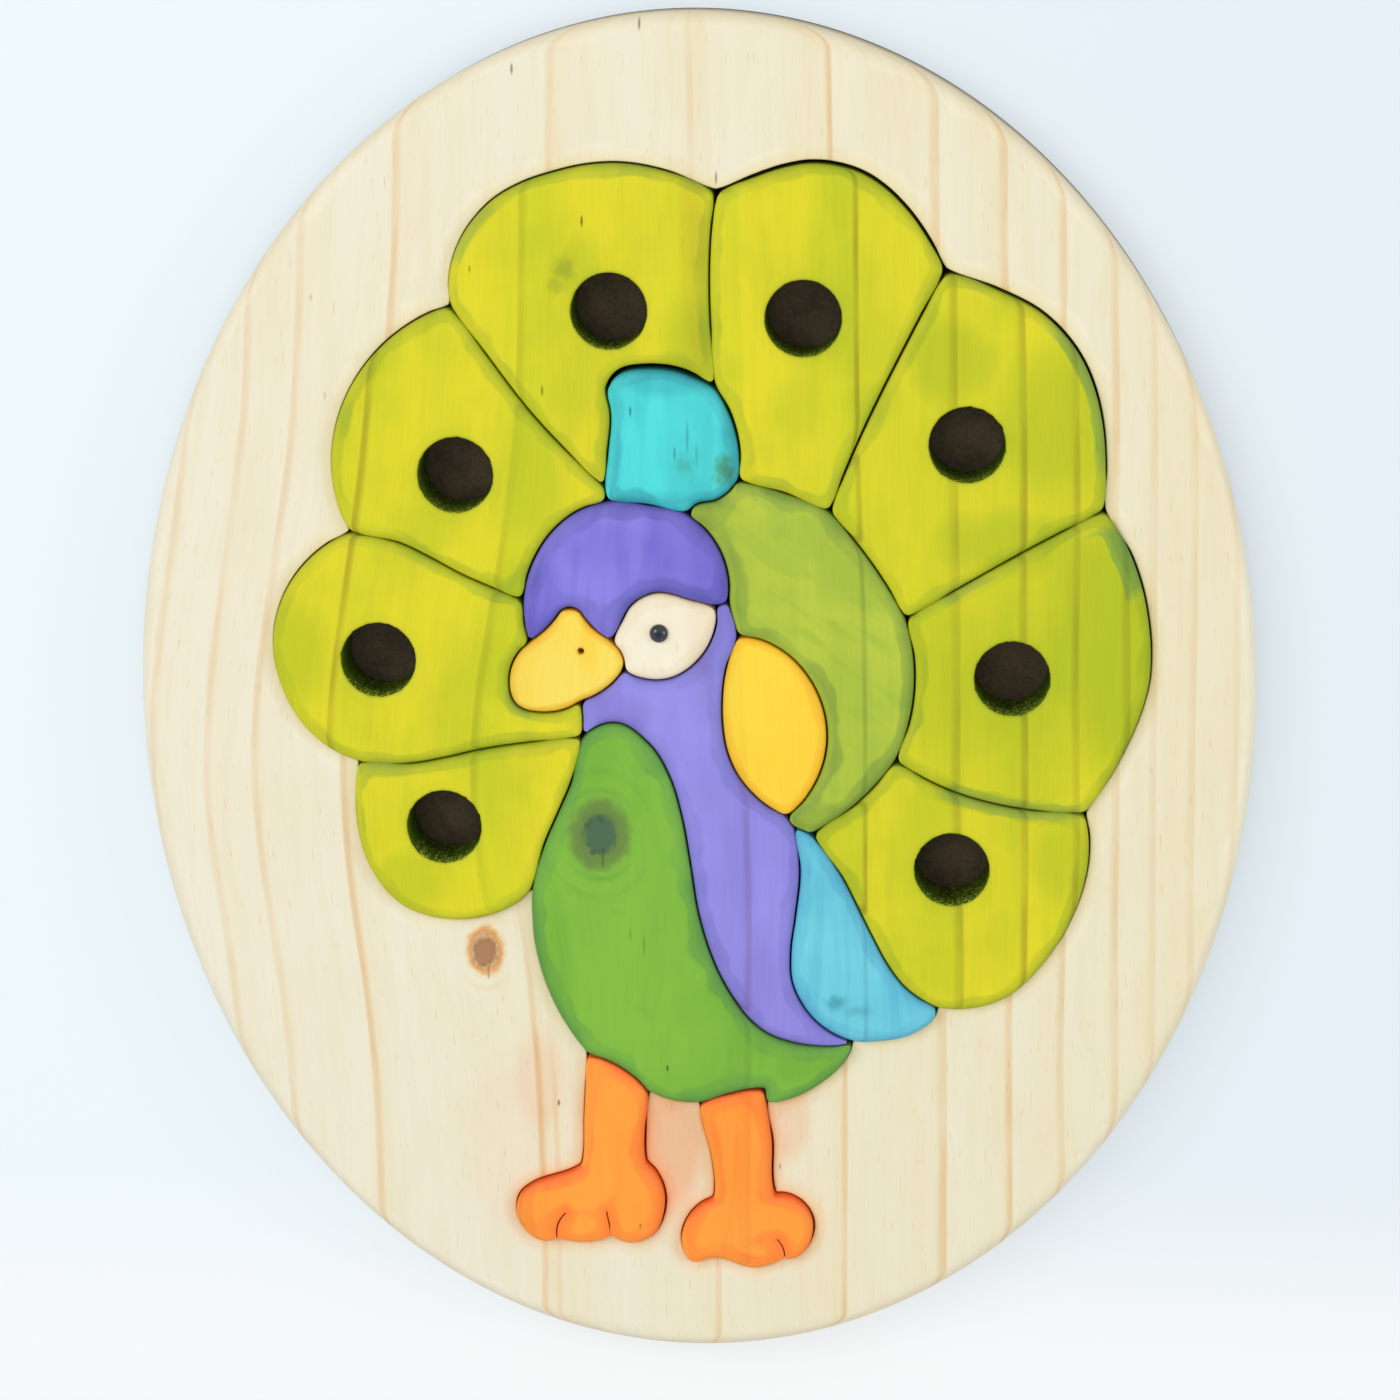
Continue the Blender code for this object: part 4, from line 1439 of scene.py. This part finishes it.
        mesh = bmesh.from_edit_mesh(piece.data)
        ring = mesh.verts.layers.int[RING]
        select_where(piece, "EDGE", open_edge)

    def cap(self, piece: Piece) -> None:
        """Fills the underside and the flat top, and turns all faces outwards.

        Args:
            piece: the board.
        """
        with editing(piece):
            for kind in (RingKind.LOWEST, RingKind.HIGHEST):
                self.select_rings(piece, kind)
                bpy.ops.mesh.fill(use_beauty=True)
            bpy.ops.mesh.select_all(action="SELECT")
            bpy.ops.mesh.normals_make_consistent(inside=False)
            open_edges = sum(len(edge.link_faces) != 2 for edge in bmesh.from_edit_mesh(piece.data).edges)
        if open_edges:
            LOG.warning("%s: %d open edges", piece.name, open_edges)


FEATHERS = (
    "tail_feather_top_left", "tail_feather_top_right", "tail_feather_upper_right",
    "tail_feather_middle_right", "tail_feather_lower_right", "tail_feather_upper_left",
    "tail_feather_middle_left", "tail_feather_lower_left",
)


@dataclass
class Tray:
    """The oval pine board with the bird sawn out of it, and the dark board that it is glued on."""

    shop: Workshop
    rim_round: float = 4.0 * MM
    opening_round: float = 0.4 * MM
    flat_steps: tuple[float, ...] = (1.0 * MM, 3.0 * MM, 6.0 * MM, 10.0 * MM)
    backing_round: float = 0.3 * MM
    backing_under: float = 0.2 * MM

    def build(self) -> list[Piece]:
        """Makes both boards.

        Returns:
            The boards.
        """
        pine = BarePineFinish(
            "bare_pine", (0.82, 0.78, 0.62), late_wood=(0.93, 0.74, 0.56), year=(0.99, 0.94, 0.84),
            # rim above 1 is a painted highlight: a whiter, bluer sheen on the rounded rims of the oval and of
            # the opening; wall is painted shade down the sawn walls.
            rim=(1.07, 1.07, 1.12), end_grain=(0.92, 0.86, 0.76), wall=(0.62, 0.56, 0.46),
            thick=(0.98, 0.96, 0.90),
            mark=(0.30, 0.20, 0.13), heart=(0.46, 0.28, 0.24), glow=(0.86, 0.50, 0.28),
            halo=(0.99, 0.78, 0.50), swirl=(0.98, 0.86, 0.68),
            rim_width=4.0, bored_rim=1.0, fibre=0.012, pores=0.8, streaks=0.6,
        ).make(self.shop)
        tray = SawnBoard(
            "tray", "tray", "pine", pine, self.rim_round, self.rim_round, self.opening_round,
            flat_steps=self.flat_steps,
        )
        backing = SawnBoard(
            "backing_board", "tray", "backing_board", BoardFinish().make(), self.backing_round,
            self.backing_round, self.backing_round, under_round=self.backing_under,
        )
        return [tray.build(), backing.build()]


@dataclass
class Peacock:
    """The stained pieces of the bird."""

    shop: Workshop
    edge_round: float = 2.3 * MM
    edge_drop: float = 1.3 * MM
    hole_round: float = 0.8 * MM
    nostril_depth: float = 5.0 * MM
    bore_ragged: float = 0.15 * MM

    @staticmethod
    def stains() -> dict[str, WoodFinish]:
        """The stain of each piece, by node. Each is named for its material slot in the record.

        Returns:
            The stains.
        """
        feather = FeatherFinish(
            "feather_stain", (0.72, 0.635, 0.019), late_wood=(0.72, 0.62, 0.85), year=(0.82, 0.94, 0.8),
            streaks=0.12, sheen=0.18, turned=0.3, rim=(0.64, 0.76, 0.95), end_grain=(0.80, 0.82, 1.1),
            wall=(0.35, 0.42, 0.3), thick=(0.64, 0.80, 0.70), patches=(
                Patch(112, 18, 30, 42, 1.0), Patch(84, 45, 24, 14, 0.8), Patch(95, 75, 20, 26, 0.8),
                Patch(68, 95, 14, 16, 0.8), Patch(48, 84, 10, 10, 0.6), Patch(98, -40, 12, 16, 0.6),
                Patch(0, 100, 9, 16, 0.6), Patch(-108, 15, 14, 20, 0.7), Patch(-30, 118, 9, 12, 0.7),
                Patch(-43, 62, 14, 22, 0.5), Patch(-85, 97, 10, 12, 0.6), Patch(-80, -48, 14, 10, 0.6),
                Patch(80, 5, 34, 46, 0.85), Patch(70, 70, 34, 36, 0.25), Patch(72, -44, 26, 34, 0.25),
            ),
            smudges=(Patch(-33.5, 118, 5.0, 5.0, 0.8), Patch(-35.5, 114, 3.6, 3.6, 0.7)),
            smudge=(0.62, 0.68, 1.3),
            pools=(
                Patch(111, 40, 11, 12, 1.0, 4.4), Patch(104, 86, 22, 24, 0.8, 2.6),
                Patch(80, 30, 16, 8, 0.6, 2.0), Patch(-70, -32, 22, 9, 0.5, 2.0),
                Patch(84, -25, 24, 8, 0.6, 2.2), Patch(-60, 128, 14, 10, 0.5, 2.4),
            ),
        )
        legs = WoodFinish(
            "leg_stain", (0.96, 0.34, 0.040), late_wood=(0.98, 0.80, 0.75), rim=(0.98, 0.62, 0.75),
            end_grain=(0.98, 0.70, 0.85), wall=(0.95, 0.7, 0.6), rim_width=3.6, thick=(1.0, 0.84, 0.76),
            blotches=0.35, turned=0.05, slant=1.0,
            patches=(Patch(11.5, -130, 2.6, 22, 0.9), Patch(13, -113, 5, 6, 0.7)),
        )
        return dict.fromkeys(FEATHERS, feather) | {
            "left_leg": legs,
            "right_leg": legs,
            "crest": WoodFinish(
                "crest_stain", (0.070, 0.685, 0.665), late_wood=(0.70, 0.72, 0.76), rim=(0.50, 0.58, 0.66),
                end_grain=(0.62, 0.60, 0.64), wall=(0.3, 0.3, 0.35), thick=(0.70, 0.78, 0.84),
                rim_width=3.4, turned=0.1, streaks=0.5,
                patches=(Patch(11, 72, 5, 14, 0.9), Patch(-8, 88, 16, 4, 0.9), Patch(-8, 57, 16, 3, 0.7)),
                smudges=(Patch(9, 65, 4.6, 6.0, 1.0), Patch(-2, 66, 4.0, 4.0, 0.4)),
                smudge=(0.92, 0.46, 0.27),
            ),
            "head": WoodFinish(
                "head_stain", (0.245, 0.213, 0.705), late_wood=(0.8, 0.78, 0.84), rim=(0.57, 0.59, 0.67),
                end_grain=(0.80, 0.80, 0.78), wall=(0.3, 0.3, 0.35), thick=(0.70, 0.68, 0.86),
                rim_width=4.4, turned=0.3, streaks=0.4, blotches=0.8,
                patches=(Patch(-22, 44, 20, 9, 0.5), Patch(2, 36, 9, 12, 0.6), Patch(-40, 32, 8, 8, 0.5)),
            ),
            "neck": WoodFinish(
                "neck_stain", (0.295, 0.265, 0.76), late_wood=(0.80, 0.62, 0.62), rim=(0.74, 0.76, 0.80),
                end_grain=(0.84, 0.84, 0.84), wall=(0.3, 0.3, 0.35), thick=(0.82, 0.76, 0.84),
                rim_width=3.4,
                patches=(Patch(-20, -2, 10, 8, 0.8), Patch(18, -78, 9, 22, 0.7), Patch(13, -45, 4, 30, 0.5)),
            ),
            "beak": WoodFinish(
                "beak_stain", (0.885, 0.685, 0.105), late_wood=(0.9, 0.8, 0.7), rim=(0.97, 0.76, 0.32),
                end_grain=(0.94, 0.78, 0.50), wall=(0.55, 0.20, 0.08), thick=(1.0, 0.89, 0.50),
                streaks=0.04, blotches=0.6, rim_width=1.7, bored_rim=0.0,
                patches=(Patch(-28, 18, 3.6, 11, 0.9), Patch(-31, 32, 5, 4, 0.7)),
            ),
            "breast": WoodFinish(
                "breast_stain", (0.214, 0.468, 0.041), late_wood=(0.8, 0.78, 0.8), rim=(0.58, 0.70, 1.35),
                end_grain=(0.82, 0.84, 1.0), wall=(0.3, 0.35, 0.35), thick=(0.74, 0.85, 0.8),
                rim_width=4.2, turned=1.0,
                patches=(
                    Patch(-30, -12, 12, 14, 0.8), Patch(28, -100, 14, 7, 0.8),
                    Patch(-38, -70, 7, 26, 0.6), Patch(-26, -32, 15, 22, 0.35),
                ),
                heart=(0.42, 0.50, 1.7), halo=(0.68, 0.51, 1.15), glow=(0.92, 0.92, 1.1),
                swirl=(0.6, 0.66, 0.95),
            ),
            "back": WoodFinish(
                "back_stain", (0.462, 0.55, 0.043), late_wood=(0.74, 0.76, 0.85), rim=(0.53, 0.64, 0.92),
                end_grain=(0.76, 0.78, 0.9), wall=(0.3, 0.35, 0.35), thick=(0.74, 0.85, 0.9),
                rim_width=4.2, turned=0.25, strokes=0.7,
                patches=(Patch(44, 38, 14, 12, 0.7), Patch(30, 50, 22, 6, 0.7), Patch(48, -14, 8, 18, 0.6)),
            ),
            "wing_shoulder": WoodFinish(
                "shoulder_stain", (0.92, 0.64, 0.041), late_wood=(0.9, 0.8, 0.8), rim=(0.97, 0.80, 0.52),
                end_grain=(0.95, 0.84, 0.75), wall=(0.5, 0.35, 0.2), thick=(1.0, 0.90, 0.7),
                streaks=0.12, rim_width=2.2,
            ),
            "wing_tip": WoodFinish(
                "wing_stain", (0.162, 0.61, 0.715), late_wood=(0.75, 0.80, 0.84), rim=(0.66, 0.76, 0.88),
                end_grain=(0.8, 0.8, 0.85), wall=(0.3, 0.35, 0.35), thick=(0.68, 0.80, 0.88),
                rim_width=3.4, streaks=0.5,
                patches=(Patch(60, -78, 14, 8, 0.7), Patch(36, -48, 6, 10, 0.7)),
                smudges=(Patch(38.5, -81.5, 4.0, 3.2, 0.9), Patch(44, -84, 7.0, 2.2, 0.5)),
            ),
        }

    def build(self) -> list[Piece]:
        """Makes every stained piece.

        Returns:
            The pieces.
        """
        pieces = []
        made = {}
        for number, (node, stain) in enumerate(self.stains().items()):
            if stain not in made:
                made[stain] = stain.make(self.shop)
            board = SawnBoard(
                node, node, stain.name, made[stain], self.edge_round, self.edge_drop, self.hole_round,
                seed=number + 1,
            )
            if node == "beak":
                board.blind_depth = self.nostril_depth
            else:
                board.ragged = self.bore_ragged
            pieces.append(board.build())
        return pieces


@dataclass
class Eye:
    """The unstained eye piece, and the dark bead that stands in its socket."""

    shop: Workshop
    edge_round: float = 2.3 * MM
    edge_drop: float = 1.3 * MM
    socket_round: float = 0.15 * MM
    socket_depth: float = 8.0 * MM
    head: float = 5.0 * MM
    rise: float = 1.9 * MM
    peg: float = 2.4 * MM
    peg_length: float = 8.0 * MM
    peg_bevel: float = 0.2 * MM
    segments: int = 48
    ball_rings: int = 24

    def build(self) -> list[Piece]:
        """Makes the eye piece and its bead.

        Returns:
            Both pieces.
        """
        cream = WoodFinish(
            "eye_varnish", (0.88, 0.80, 0.63), late_wood=(0.9, 0.8, 0.66), rim=(0.94, 0.91, 0.84),
            end_grain=(0.92, 0.86, 0.76), wall=(0.5, 0.42, 0.3), thick=(0.97, 0.95, 0.9), fibre=0.012,
            pores=0.5,
        ).make(self.shop)
        eye = SawnBoard(
            "eye", "eye", "eye_stain", cream, self.edge_round, self.edge_drop, self.socket_round,
            blind_depth=self.socket_depth,
        )
        return [eye.build(), self.bead()]

    def bead(self) -> Piece:
        """A ball flattened to a dome, cut level, with a peg drawn down from its underside.

        Returns:
            The bead.
        """
        low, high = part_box("pupil")
        seat = Vector(((low.x + high.x) / 2, (low.y + high.y) / 2, high.z - self.rise))
        deselect_everything()
        bpy.ops.mesh.primitive_uv_sphere_add(
            segments=self.segments, ring_count=self.ball_rings, radius=self.head / 2,
        )
        bead = bpy.context.active_object
        bead.name = bead.data.name = "pupil_looks"
        with editing(bead):
            bpy.ops.mesh.select_all(action="SELECT")
            bpy.ops.transform.resize(value=(1.0, 1.0, self.rise / (self.head / 2)))
            bpy.ops.mesh.bisect(plane_co=(0, 0, 0), plane_no=(0, 0, 1), clear_inner=True, use_fill=True)
            select_level(bead, 0.0, -1.0)
            bpy.ops.mesh.inset(thickness=(self.head - self.peg) / 2)
            bpy.ops.mesh.extrude_region_move(TRANSFORM_OT_translate={"value": (0, 0, -self.peg_length)})
            bpy.ops.mesh.bevel(offset=self.peg_bevel, segments=2, affect="EDGES")
            bpy.ops.mesh.select_all(action="SELECT")
            bpy.ops.transform.translate(value=seat)
            bpy.ops.mesh.normals_make_consistent(inside=False)
        dress(bead, "pupil", "eye", BeadFinish().make())
        return bead


@dataclass(frozen=True)
class SoftBox:
    """A soft studio light: where it stands from the board's middle, its size and its brightness."""

    name: str
    place: tuple[float, float, float]
    width: float
    depth: float
    watts: float
    glossy: bool = True


@dataclass
class Studio:
    """The pale table, the soft lights and the camera."""

    table_size: float = 9.0
    table_gap: float = 0.05 * MM
    zenith: Colour = (0.40, 0.405, 0.41)
    horizon: Colour = (0.48, 0.487, 0.495)
    camera_place: tuple[float, float, float] = (0.06613, 0.24488, 1.02933)
    focal_pixels: float = 3886.0
    image_pixels: float = 1400.0
    sensor_width: float = 36.0
    nearest_seen: float = 0.01
    level_point: tuple[float, float] = (950.0, -233.0)
    roll: float = math.radians(-0.553)
    boxes: tuple[SoftBox, ...] = (
        SoftBox("top_box", (-0.15, 0.10, 1.70), 1.6, 1.6, 14.5, glossy=False),
        SoftBox("left_box", (-1.35, 0.90, 1.60), 1.0, 1.0, 13.5),
        SoftBox("right_box", (1.90, 0.30, 1.20), 1.0, 1.0, 11.0),
    )

    def build(self) -> None:
        """Sets up table, lights and camera."""
        self.lay_table()
        self.light()
        self.set_camera()

    def lay_table(self) -> None:
        """Lays the plain pale table under the board."""
        deselect_everything()
        bpy.ops.mesh.primitive_plane_add(size=self.table_size, location=(0.0, 0.0, -self.table_gap))
        table = bpy.context.active_object
        table.name = "table"
        bpy.ops.object.transform_apply(location=True, rotation=False, scale=False)
        table.data.materials.append(FloorFinish().make())

    def light(self) -> None:
        """Lights the table from all round, and most from its left."""
        scene = bpy.context.scene
        world = bpy.data.worlds.new("studio")
        world.use_nodes = True
        height = Wire(add_node(world.node_tree, "TexCoord").outputs["Generated"]).split()[2]
        colour = height.math("ABSOLUTE").mix(self.horizon, self.zenith)
        feed(world.node_tree.nodes["Background"].inputs["Color"], colour)
        scene.world = world
        scene.view_settings.view_transform = "Standard"
        scene.view_settings.look = "None"
        for box in self.boxes:
            lamp = bpy.data.lights.new(box.name, "AREA")
            lamp.shape = "RECTANGLE"
            lamp.size, lamp.size_y = box.width, box.depth
            lamp.energy = box.watts
            stand = new_object(box.name, lamp)
            stand.location = box.place
            stand.rotation_euler = (-Vector(box.place)).to_track_quat("-Z", "Y").to_euler()
            stand.visible_camera = False
            stand.visible_glossy = box.glossy

    def set_camera(self) -> None:
        """Points the camera at the board as the photograph's did."""
        middle = self.image_pixels / 2
        across, along = self.level_point
        down = Vector(((across - middle) / self.focal_pixels, (middle - along) / self.focal_pixels, 1.0))
        rise = -down.normalized()
        ahead = Vector((0.0, 1.0, 0.0))
        ahead = (ahead - rise * ahead.dot(rise)).normalized()
        right = rise.cross(ahead)
        x = right * math.cos(self.roll) + ahead * math.sin(self.roll)
        y = ahead * math.cos(self.roll) - right * math.sin(self.roll)
        rows = [Vector((x[i], y[i], rise[i])) for i in range(3)]
        turn = Matrix((rows[0], rows[1], -rows[2])).transposed()
        lens = bpy.data.cameras.new("photo_camera")
        lens.sensor_width = self.sensor_width
        lens.lens = self.focal_pixels / self.image_pixels * lens.sensor_width
        lens.clip_start = self.nearest_seen
        camera = new_object("photo_camera", lens)
        camera.matrix_world = Matrix.Translation(self.camera_place) @ turn.to_4x4()
        bpy.context.scene.camera = camera


def main() -> None:
    """Builds the studio and the puzzle."""
    logging.basicConfig(level=logging.INFO, format="%(message)s")
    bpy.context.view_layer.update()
    Studio().build()
    tray_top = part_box("tray")[1].z / MM
    shop = Workshop(PineBoard(tray_top).group(), edge_stain_and_shade_group())
    pieces = [*Tray(shop).build(), *Peacock(shop).build(), *Eye(shop).build()]
    LOG.info("%d pieces made", len(pieces))
    bpy.context.view_layer.update()


if __name__ == "__main__":
    main()
